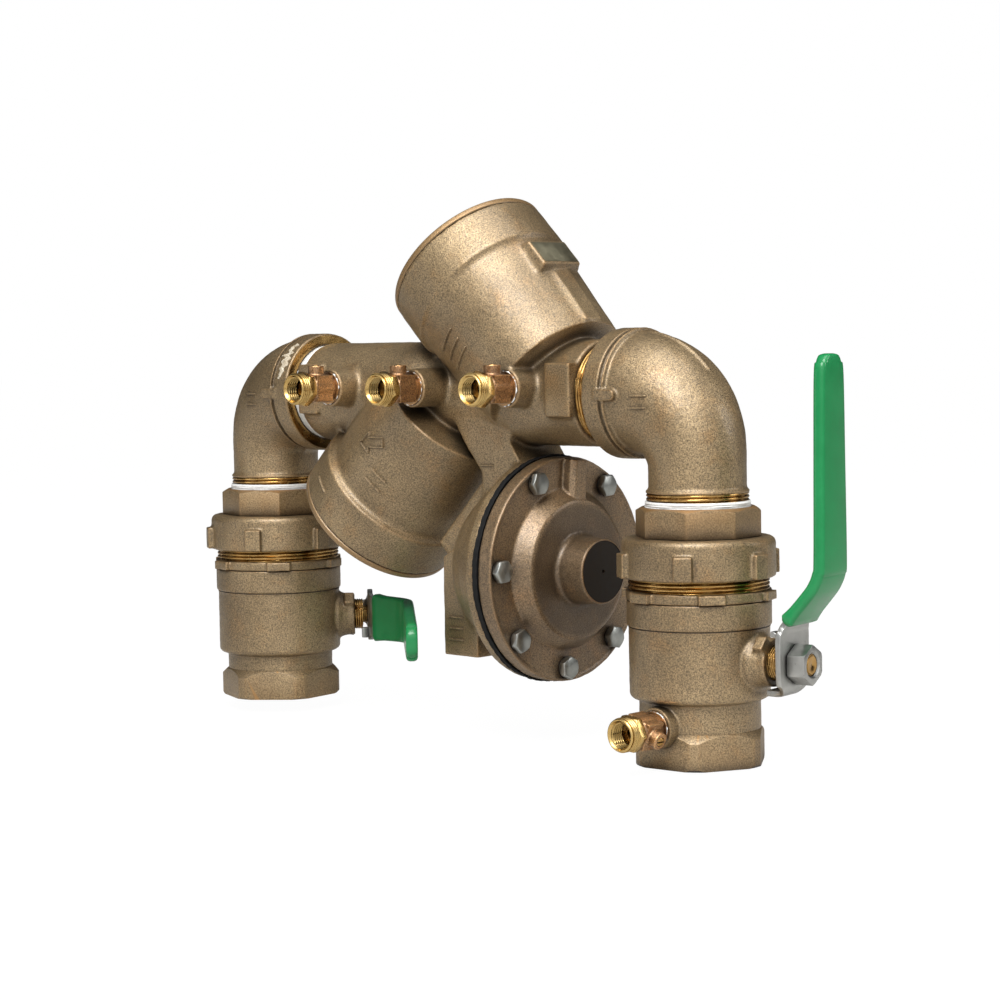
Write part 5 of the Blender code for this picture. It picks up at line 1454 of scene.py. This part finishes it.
def valve_body(valve):
    """The ball valve's casting with its stem boss and hexagonal pipe end."""
    place = valve_frame(valve)
    upright = upright_frame(valve)
    name = valve["name"]
    neck_end, foot = valve["neck_end_z"], valve["hex_end_z"]
    parts = [turned([
        (0, neck_end - 0.004),
        (BODY_NECK_R - 0.003, neck_end - 0.004),
        (BODY_NECK_R, neck_end),
        (BODY_NECK_R, BODY_NECK_Z),
        (BODY_R - BODY_ROUND, BODY_NECK_Z + GAP),
        (BODY_R - BODY_ROUND * 0.3, BODY_NECK_Z + BODY_ROUND * 0.4),
        (BODY_R, BODY_SHOULDER_Z),
        (BODY_R, BODY_SEAM_Z),
        (BODY_TOP_R, BODY_SEAM_Z + 0.001),
        (BODY_TOP_R, BODY_TOP_Z),
        (0, BODY_TOP_Z),
    ], upright)]
    drum = turned([
        (0, foot),
        (HEX_CORNER_R - HEX_FOOT_SLOPE, foot),
        (HEX_CORNER_R, foot + HEX_FOOT_SLOPE),
        (HEX_CORNER_R, neck_end - HEX_TOP_SLOPE),
        (BODY_NECK_R - 0.0002, neck_end + 0.0006),
        (0, neck_end + 0.0006),
    ], upright, ROUND * 2)
    corners = polygon(6, HEX_FLATS, valve["hex_corner"])
    flats = prism(corners, foot - PAST, neck_end + PAST, upright)
    hexagon = combine(drum, [flats], "INTERSECT")
    across = place @ frame_at((0, 0, BALL_Z), (1, 0, 0))
    flare = STEM_BOSS_FLARE
    parts.append(turned([
        (0, STEM_BOSS_START),
        (STEM_BOSS_R + flare * 1.2, STEM_BOSS_START),
        (STEM_BOSS_R + flare, 0.0410),
        (STEM_BOSS_R + flare * 0.35, 0.0440),
        (STEM_BOSS_R, 0.0475),
        (STEM_BOSS_R, STEM_BOSS_END),
        (0, STEM_BOSS_END),
    ], across))
    for angle in EAR_ANGLES:
        ear = across @ Matrix.Rotation(angle, 4, "Z")
        low = (STEM_BOSS_R - 0.003, -EAR_HALF_WIDTH, EAR_START)
        high = (STEM_BOSS_R + EAR_HEIGHT, EAR_HALF_WIDTH, STEM_BOSS_END - GAP)
        parts.append(block(low, high, ear))
    if valve["cock"]:
        boss = frame_at((VALVE_X, 0, INLET_COCK_Z), (0, -1, 0))
        boss_end = INLET_COCK_FACE + COCK_BOSS_RAISE
        parts.append(rod(COCK_BOSS_R, INLET_COCK_BOSS_START, boss_end, boss))
    body = cast(parts, FINE_GRID, 7, 3)
    combine(body, [eased(hexagon, 0.0005)], "UNION")
    carve_valve_body(valve, body, across)
    publish(body, f"{name}_valve_casting", BRONZE,
            replaced=[f"{name}_valve_body"])


def carve_valve_body(valve, body, across):
    """The ball's cavity, waterway, pipe socket and stem hole."""
    foot = valve["hex_end_z"]
    socket_top = foot + PIPE_SOCKET_DEPTH
    cavity = turned([
        (0, foot - PAST),
        (PIPE_SOCKET_R + 0.0015, foot - PAST),
        (PIPE_SOCKET_R, foot + 0.0015),
        (PIPE_SOCKET_R, socket_top),
        (BORE_R, socket_top),
        (BORE_R, CAVITY_STEP_Z),
        (CAVITY_STEP_R, CAVITY_STEP_Z),
        (CAVITY_STEP_R, CAVITY_Z[0]),
        (CAVITY_R, CAVITY_Z[0]),
        (CAVITY_R, CAVITY_Z[1]),
        (BORE_R, CAVITY_Z[1]),
        (BORE_R, BODY_TOP_Z + PAST),
        (0, BODY_TOP_Z + PAST),
    ], upright_frame(valve))
    stem_hole = stepped(STEM_BOSS_START, [
        (STEM_R + GAP, GLAND_START - GAP),
        (GLAND_R + GAP, GLAND_END),
    ], across, SMALL_ROUND)
    seam = turned([
        (BODY_R - SEAM_DEPTH, BODY_SEAM_Z - 0.0001),
        (BODY_TOP_R + PAST, BODY_SEAM_Z - 0.0003),
        (BODY_TOP_R + PAST, BODY_SEAM_Z + 0.0008),
        (BODY_R - SEAM_DEPTH, BODY_SEAM_Z + 0.0006),
    ], upright_frame(valve))
    tools = [cavity, stem_hole, seam]
    if valve["cock"]:
        face = frame_at((VALVE_X, -INLET_COCK_FACE, INLET_COCK_Z), (0, -1, 0))
        depth, top = -COCK_THREAD_DEPTH - GAP, COCK_BOSS_RAISE + PAST
        tools.append(rod(COCK_THREAD_R + GAP, depth, top, face, SMALL_ROUND))
    combine(body, tools, "DIFFERENCE")


def ball_and_stem(valve):
    """The drilled ball, the threaded stem end and the packing gland."""
    name = valve["name"]
    lever_body = f"{name}_lever_set"
    place = stem_frame(valve)
    out = place @ frame_at((0, 0, 0), (1, 0, 0))
    sphere = turned(half_circle(BALL_R, SMALL_ROUND), place, ROUND)
    reach = BALL_R + PAST
    slot = block((0.0277, -0.0045, -0.0090), (reach, 0.0045, 0.0090), place)
    combine(sphere, [rod(BALL_BORE_R, -reach, reach, place), slot], "DIFFERENCE")
    publish(sphere, f"{name}_drilled_ball", BRASS, lever_body,
            [f"{name}_ball"])
    shank = stepped(STEM_START, [
        (STEM_R, GLAND_END + GAP),
        (STEM_THREAD_R - 0.0004, STEM_SHANK_END),
    ], out, SMALL_ROUND)
    publish(eased(shank, 0.0002), f"{name}_stem_shank", BRASS, lever_body)
    tip = thread(STEM_THREAD_R, 0.0005, 0.00125, 0.0598, STEM_END - 0.0006, out, 0.0,
                 SMALL_ROUND)
    publish(tip, f"{name}_stem_thread", BRASS, lever_body, [f"{name}_stem"])
    end = turned([
        (0, STEM_END - 0.0008),
        (STEM_THREAD_R - 0.0004, STEM_END - 0.0008),
        (STEM_THREAD_R - 0.0010, STEM_END),
        (0.0010, STEM_END),
        (0, STEM_END - 0.0006),
    ], out, SMALL_ROUND)
    publish(end, f"{name}_stem_end", BRASS, lever_body)
    fixed = valve_frame(valve) @ frame_at((0, 0, BALL_Z), (1, 0, 0))
    gland = thread(GLAND_R, 0.0006, 0.0015, GLAND_START, GLAND_END, fixed, STEM_R + 0.0002,
                   SMALL_ROUND)
    publish(gland, f"{name}_packing_gland", BRASS,
            replaced=[f"{name}_gland"])


def smooth_path(path, steps=PATH_STEPS):
    """More stations along a path, by Catmull-Rom curves through its points."""
    dense = []
    last = len(path) - 1
    for index in range(last):
        before, start = path[max(index - 1, 0)], path[index]
        end, after = path[index + 1], path[min(index + 2, last)]
        for step in range(steps):
            t = step / steps
            dense.append(tuple(
                0.5 * (2 * b + (c - a) * t + (2 * a - 5 * b + 4 * c - d) * t * t
                       + (3 * b - a - 3 * c + d) * t ** 3)
                for a, b, c, d in zip(before, start, end, after)
            ))
    dense.append(tuple(path[-1]))
    return dense


def rounded_section(width, deep, corner, steps=4):
    """A rounded rectangle around the origin, as (width, depth) points."""
    points = []
    for quadrant, (sx, sy) in enumerate(((1, 1), (-1, 1), (-1, -1), (1, -1))):
        for step in range(steps + 1):
            angle = math.pi / 2 * (quadrant + step / steps)
            points.append((
                sx * (width - corner) + corner * math.cos(angle),
                sy * (deep - corner) + corner * math.sin(angle),
            ))
    return points


def strip(path, thickness, spread_by, corner, place, shift=0.0):
    """A bent strip with rounded edges."""
    rings = []
    last = len(path) - 1
    for index, (x, z, half) in enumerate(path):
        before, after = path[max(index - 1, 0)], path[min(index + 1, last)]
        along = Vector((after[0] - before[0], 0, after[1] - before[1])).normalized()
        normal = Vector((along.z, 0, -along.x))
        more = spread_by(index / last) if callable(spread_by) else spread_by
        deep = thickness / 2 + more
        section = rounded_section(half + more, deep, min(corner, deep * 0.98))
        centre = Vector((x, shift, z))
        rings.append([centre + normal * d + Vector((0, w, 0)) for w, d in section])
    return loft(rings, place)


def lever_and_grip(valve):
    """The bent steel lever, its dipped grip and the nut that holds it."""
    name = valve["name"]
    lever_body = f"{name}_lever_set"
    place = stem_frame(valve)
    out = place @ frame_at((0, 0, 0), (1, 0, 0))
    path = smooth_path(LEVER_PATH)
    lever = strip(path, LEVER_THICKNESS, 0.0, 0.0007, place)
    tab = strip(smooth_path(SIDE_TAB_PATH), 0.0030, 0.0, 0.0006, place, SIDE_TAB_SHIFT)
    combine(lever, [tab], "UNION")
    hole = rod(STEM_THREAD_R + GAP, GLAND_END, NUT_X_RANGE[1] + PAST, out, SMALL_ROUND)
    combine(lever, [hole], "DIFFERENCE")
    publish(lever, f"{name}_lever_strap", STEEL, lever_body, [f"{name}_lever"])
    tip_z = LEVER_LENGTH + GRIP_WALL
    covered = smooth_path(LEVER_PATH[GRIP_START:-1] + (
        (LEVER_GRIP_X, LEVER_LENGTH - 0.0004, 0.0060),
        (LEVER_GRIP_X, tip_z, 0.0032),
    ))

    def vinyl(share):
        roll = 0.0007 * math.exp(-((share * 60 - 1.0) ** 2) / 2)
        start = -0.0010 * math.exp(-share * 220)
        end = -0.0020 * max(0.0, (share - 0.93) / 0.07) ** 2
        return GRIP_WALL + GAP + roll + start + end

    grip = strip(covered, LEVER_THICKNESS, vinyl, 0.0026, place)
    inner = smooth_path(LEVER_PATH[GRIP_START - 1:])
    hollow = strip(inner, LEVER_THICKNESS + 2 * GAP, 0.0, 0.0007, place)
    combine(grip, [hollow], "DIFFERENCE")
    publish(grip, f"{name}_vinyl_grip", VINYL, lever_body, [f"{name}_grip"])
    nut = chamfered(6, NUT_FLATS, *NUT_X_RANGE, -0.0008, 0.0, out)
    eased(nut, 0.0004)
    hole = turned([
        (0, NUT_X_RANGE[0] - PAST),
        (STEM_THREAD_R + GAP, NUT_X_RANGE[0] - PAST),
        (STEM_THREAD_R + GAP, NUT_X_RANGE[1] - 0.0012),
        (STEM_THREAD_R + 0.0016, NUT_X_RANGE[1] + 0.0001),
        (STEM_THREAD_R + 0.0016, NUT_X_RANGE[1] + PAST),
        (0, NUT_X_RANGE[1] + PAST),
    ], out, SMALL_ROUND)
    combine(nut, [hole], "DIFFERENCE")
    publish(nut, f"{name}_nut", STEEL, lever_body, [f"{name}_lever_nut"])


# ---------------------------------------------------------------- test cocks
def test_cock(number, place):
    """One test cock: local +Z runs out of the boss, local +X along its stem."""
    name = f"test_cock_{number}"
    core_place = place @ Matrix.Translation((0, 0, COCK_STEM_AT))
    stem_axis = core_place @ frame_at((0, 0, 0), (1, 0, 0))
    collar = turned([
        (0, 0.0010),
        (COCK_R, 0.0010),
        (COCK_R, COCK_END - 0.0006),
        (COCK_R - 0.0006, COCK_END),
        (0, COCK_END),
    ], place, SMALL_ROUND)
    half = COCK_R - 0.0006
    square = block((-half, -half, 0.0055), (half, half, COCK_END - 0.0012), place)
    boss = rod(COCK_STEM_BOSS_R, 0, COCK_STEM_TOP, stem_axis, SMALL_ROUND)
    body = cast([collar, square, boss], SMALL_GRID, 8, 3, WAVE_HEIGHT * 0.4)
    water = rod(COCK_BORE_R, -PAST, COCK_END + PAST, place, 24)
    chamber = rod(COCK_BALL_R + GAP, COCK_STEM_AT - COCK_BALL_R, COCK_END + PAST, place,
                  TINY_ROUND)
    hole = rod(COCK_STEM_R + GAP, 0, COCK_STEM_TOP + PAST, stem_axis, TINY_ROUND)
    combine(body, [water, chamber, hole], "DIFFERENCE")
    publish(body, f"{name}_housing", COCK_BRONZE, replaced=[f"{name}_body"])
    screw = thread(COCK_THREAD_R, 0.0007, 0.0014, -COCK_THREAD_DEPTH, 0.0034, place,
                   COCK_BORE_R, SMALL_ROUND)
    publish(screw, f"{name}_thread", COCK_BRONZE)
    stem_end = COCK_STEM_TOP - GAP + 0.0006
    core = turned(half_circle(COCK_BALL_R, TINY_ROUND // 2), core_place, TINY_ROUND)
    stem = turned([
        (0, COCK_STEM_R),
        (COCK_STEM_R, COCK_STEM_R),
        (COCK_STEM_R, stem_end - 0.0004),
        (COCK_STEM_R - 0.0004, stem_end),
        (0, stem_end),
    ], stem_axis, TINY_ROUND)
    combine(core, [stem], "UNION")
    low = (stem_end - 0.0018, -0.0005, -0.0040)
    combine(core, [block(low, (stem_end + PAST, 0.0005, 0.0040), core_place)], "DIFFERENCE")
    publish(core, f"{name}_slotted_plug", BRASS, f"{name}_plug",
            [f"{name}_core"])
    cock_mouth(name, place)
    crumbs(name, place, number)


def cock_mouth(name, place):
    """The hexagon and the threaded mouth that a test hose screws to."""
    hexagon = chamfered(
        6, COCK_HEX_FLATS, COCK_END + GAP, COCK_HEX_END, 0.0006, COCK_HEX_CORNER, place)
    eased(hexagon, 0.0003)
    mouth = thread(COCK_MOUTH_R, 0.0006, 0.0016, COCK_HEX_END - 0.0006,
                   COCK_MOUTH_END - 0.0012, place, 0.0, SMALL_ROUND * 2)
    combine(hexagon, [mouth], "UNION")
    rim = turned([
        (0, COCK_MOUTH_END - 0.0016),
        (COCK_MOUTH_R - 0.0006, COCK_MOUTH_END - 0.0016),
        (COCK_MOUTH_R - 0.0004, COCK_MOUTH_END - 0.0005),
        (COCK_MOUTH_R - 0.0010, COCK_MOUTH_END),
        (0, COCK_MOUTH_END),
    ], place, SMALL_ROUND)
    combine(hexagon, [rim], "UNION")
    bore = thread(COCK_MOUTH_BORE_R + 0.0006, 0.0011, 0.0018, COCK_HEX_END - 0.004,
                  COCK_MOUTH_END - 0.0010, place, 0.0, SMALL_ROUND)
    flare = turned([
        (0, COCK_MOUTH_END - 0.0016),
        (COCK_MOUTH_BORE_R, COCK_MOUTH_END - 0.0016),
        (COCK_MOUTH_BORE_R + 0.0012, COCK_MOUTH_END + 0.0001),
        (COCK_MOUTH_BORE_R + 0.0012, COCK_MOUTH_END + PAST),
        (0, COCK_MOUTH_END + PAST),
    ], place, SMALL_ROUND)
    water = rod(COCK_BORE_R, COCK_END - PAST, COCK_HEX_END, place, TINY_ROUND)
    combine(hexagon, [bore, flare, water], "DIFFERENCE")
    publish(hexagon, f"{name}_mouth", COCK_BRASS,
            replaced=[f"{name}_fitting"])


def crumbs(name, place, number):
    """White sealing tape squeezed out around the cock's thread."""
    def torn(angle, radius, height):
        if radius < COCK_THREAD_R - 0.002:
            return radius
        point = Vector((math.cos(angle) * 4.5, math.sin(angle) * 4.5, number * 7.0 + height * 500))
        return radius + 0.0016 * noise.noise(point)

    ring = turned([
        (COCK_THREAD_R - 0.0030, 0.0001),
        (COCK_THREAD_R - 0.0003, 0.0001),
        (COCK_THREAD_R - 0.0001, 0.0006),
        (COCK_THREAD_R - 0.0006, 0.0010),
        (COCK_THREAD_R - 0.0030, 0.0013),
    ], place @ Matrix.Translation((0, 0, COCK_BOSS_RAISE)), SMALL_ROUND * 2, torn)
    publish(ring, f"{name}_tape", TAPE)


# ------------------------------------------------------------------ assembly
def pipe_ends():
    """The screwed ends of the pipe run and the tape on the outlet one."""
    for name, start, end in (
        ("inlet", PIPE_INLET_END - GAP, PIPE_THREAD_END),
        ("outlet", -PIPE_THREAD_END, PIPE_OUTLET_END + GAP),
    ):
        screw = thread(PIPE_THREAD_R, THREAD_DEPTH, PIPE_PITCH, start, end, ALONG_X, PIPE_BORE_R)
        publish(screw, f"{name}_pipe_thread", BRASS)
    face = VALVE_X - ELBOW_REACH
    tape = tape_ring(ALONG_X, -face - 0.0008, PIPE_OUTLET_END - 0.0004, 5)
    publish(tape, "outlet_pipe_tape", TAPE)
    publish(torn_edge(OUTLET), "outlet_elbow_scrap", SCRAP)


def ground_plate():
    """The ground face on the upper barrel's plate."""
    low = (PLATE_TOP - 0.001, -PLATE_HALF_Y + 0.0016, PLATE_S[0] + 0.0016)
    high = (PLATE_TOP + 0.0002, PLATE_HALF_Y - 0.0016, PLATE_S[1] - 0.0016)
    publish(eased(block(low, high, FIRST), 0.0002), "plate_face", GROUND)


def inside_finishes():
    """Finishes of the CAD pieces that stay as they are, inside the object."""
    kept = {
        "_spring": SPRING,
        "_check_disc": RUBBER,
        "_check_poppet": PLASTIC,
        "_check_seat": PLASTIC,
        "_seat_upper": PTFE,
        "_seat_lower": PTFE,
        "relief_stem": BRASS,
    }
    for node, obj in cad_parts.items():
        for ending, material in kept.items():
            if node.endswith(ending):
                obj.data.materials.clear()
                obj.data.materials.append(material)


def build():
    body = main_casting()
    marks = casting_marks(surface_of(body))
    carve_casting(body)
    publish(body, "main_casting", BRONZE, replaced=["main_body"])
    publish(marks, "casting_marks", MARK_BRONZE)
    ground_plate()
    pipe_ends()
    check_cover("first_check_cover", FIRST)
    check_cover("second_check_cover", SECOND)
    relief_valve()
    for valve in (INLET, OUTLET):
        elbow(valve)
        tailpiece(valve)
        union_nut(valve)
        retainer(valve)
        valve_body(valve)
        ball_and_stem(valve)
        lever_and_grip(valve)
    inlet_place = frame_at((VALVE_X, -INLET_COCK_FACE, INLET_COCK_Z), (0, -1, 0))
    test_cock(1, inlet_place @ Matrix.Rotation(INLET_COCK_TURN, 4, "Z"))
    for number, x in zip((4, 3, 2), COCK_X):
        place = frame_at((x, COCK_FACE_Y, COCK_Z), (0, -1, 0))
        test_cock(number, place @ Matrix.Rotation(math.radians(90), 4, "Z"))
    inside_finishes()


# --------------------------------------------------------------------- stage
CAMERA_AZIMUTH = math.radians(43.87)
CAMERA_RISE = math.radians(3.772)
CAMERA_ROLL = math.radians(-0.996)
CAMERA_DISTANCE = 1.583194
CAMERA_SHIFT = (0.019066, -0.06882)    # to the right of and above the pipe's centre
SKY_TOWARD = (0.50, -0.50, 0.70)
SKY_BRIGHT = 1.62
SKY_NARROW = 2.8
SKY_DARK = 0.05
LENS = 89.52
SENSOR = 36.0


def from_angles(azimuth, rise):
    """Unit vector at an azimuth from -Y towards +X, and an angle above level."""
    return Vector((
        math.sin(azimuth) * math.cos(rise),
        -math.cos(azimuth) * math.cos(rise),
        math.sin(rise),
    ))


def add_camera():
    """The camera's place and lens, from its angles around the pipe's centre."""
    back = from_angles(CAMERA_AZIMUTH, CAMERA_RISE)
    right = Vector((math.cos(CAMERA_AZIMUTH), math.sin(CAMERA_AZIMUTH), 0))
    up = back.cross(right)
    place = back * CAMERA_DISTANCE + right * CAMERA_SHIFT[0] + up * CAMERA_SHIFT[1]
    leaning_right = right * math.cos(CAMERA_ROLL) + up * math.sin(CAMERA_ROLL)
    leaning_up = up * math.cos(CAMERA_ROLL) - right * math.sin(CAMERA_ROLL)
    rotation = Matrix((leaning_right, leaning_up, back)).transposed()
    data = bpy.data.cameras.new("camera")
    data.lens = LENS
    data.sensor_width = SENSOR
    data.clip_start = 0.05
    data.clip_end = 50.0
    camera = bpy.data.objects.new("camera", data)
    camera.matrix_world = Matrix.Translation(place + CENTRE) @ rotation.to_4x4()
    bpy.context.scene.collection.objects.link(camera)
    bpy.context.scene.camera = camera


def add_light(name, energy, size, azimuth, rise, distance=1.6, shift=0.0):
    """A square soft light that looks at the middle of the object."""
    data = bpy.data.lights.new(name, "AREA")
    data.energy = energy
    data.shape = "SQUARE"
    data.size = size
    back = from_angles(math.radians(azimuth), math.radians(rise))
    light = bpy.data.objects.new(name, data)
    target = CENTRE + Vector((shift, 0, -0.06))
    light.matrix_world = frame_at(target + back * distance, back)
    bpy.context.scene.collection.objects.link(light)


def add_floor():
    """A pale seamless floor just below the object."""
    low = CAD_BOX[0][2] - 0.001
    bm = bmesh.new()
    bmesh.ops.create_grid(bm, x_segments=8, y_segments=8, size=12.0)
    mesh = bpy.data.meshes.new("floor")
    bm.to_mesh(mesh)
    bm.free()
    floor = bpy.data.objects.new("floor", mesh)
    floor.location = (0, 0, low)
    bpy.context.scene.collection.objects.link(floor)
    material = bpy.data.materials.new("floor_white")
    material.use_nodes = True
    tree = material.node_tree
    output = tree.nodes["Material Output"]
    diffuse = tree.nodes["Principled BSDF"]
    diffuse.inputs["Base Color"].default_value = (0.55, 0.54, 0.52, 1)
    diffuse.inputs["Roughness"].default_value = 0.9
    glow = add_node(tree, "ShaderNodeEmission", {"Color": (1, 1, 1, 1), "Strength": 1.06})
    path = add_node(tree, "ShaderNodeLightPath")
    seen = times(tree, path.outputs["Is Camera Ray"], 0.92)
    blend = add_node(
        tree, "ShaderNodeMixShader", {0: seen, 1: diffuse.outputs[0], 2: glow.outputs[0]})
    tree.links.new(blend.outputs[0], output.inputs["Surface"])
    mesh.materials.append(material)


def add_world():
    """White to the camera; to the object, a bright sky above its front."""
    world = bpy.data.worlds.new("studio")
    bpy.context.scene.world = world
    world.use_nodes = True
    tree = world.node_tree
    background = tree.nodes["Background"]
    place = add_node(tree, "ShaderNodeTexCoord").outputs["Generated"]
    toward = add_node(
        tree, "ShaderNodeVectorMath", {0: place, 1: SKY_TOWARD}, operation="DOT_PRODUCT")
    open_sky = spread(tree, toward.outputs["Value"], -0.15, 1.0)
    curve = add_node(tree, "ShaderNodeMath", {0: open_sky, 1: SKY_NARROW}, operation="POWER")
    inputs = {0: curve.outputs[0], 1: SKY_BRIGHT, 2: SKY_DARK}
    level = add_node(tree, "ShaderNodeMath", inputs, operation="MULTIPLY_ADD")
    path = add_node(tree, "ShaderNodeLightPath")
    seen = path.outputs["Is Camera Ray"]
    shade = add_node(
        tree, "ShaderNodeCombineColor", {i: level.outputs[0] for i in range(3)})
    tree.links.new(mix(tree, seen, shade.outputs[0], (1, 1, 1)), background.inputs[0])
    background.inputs[1].default_value = 1.0


def add_stage():
    add_camera()
    add_floor()
    add_world()
    add_light("key", 19.0, 0.8, 28, 48, 1.5, shift=0.12)
    add_light("top", 8.0, 1.0, 75, 78)
    add_light("rim", 3.0, 0.5, 122, 20, 1.4)
    add_light("low_left", 1.2, 0.6, -35, 4)
    bpy.context.scene.view_settings.view_transform = "Standard"


build()
add_stage()
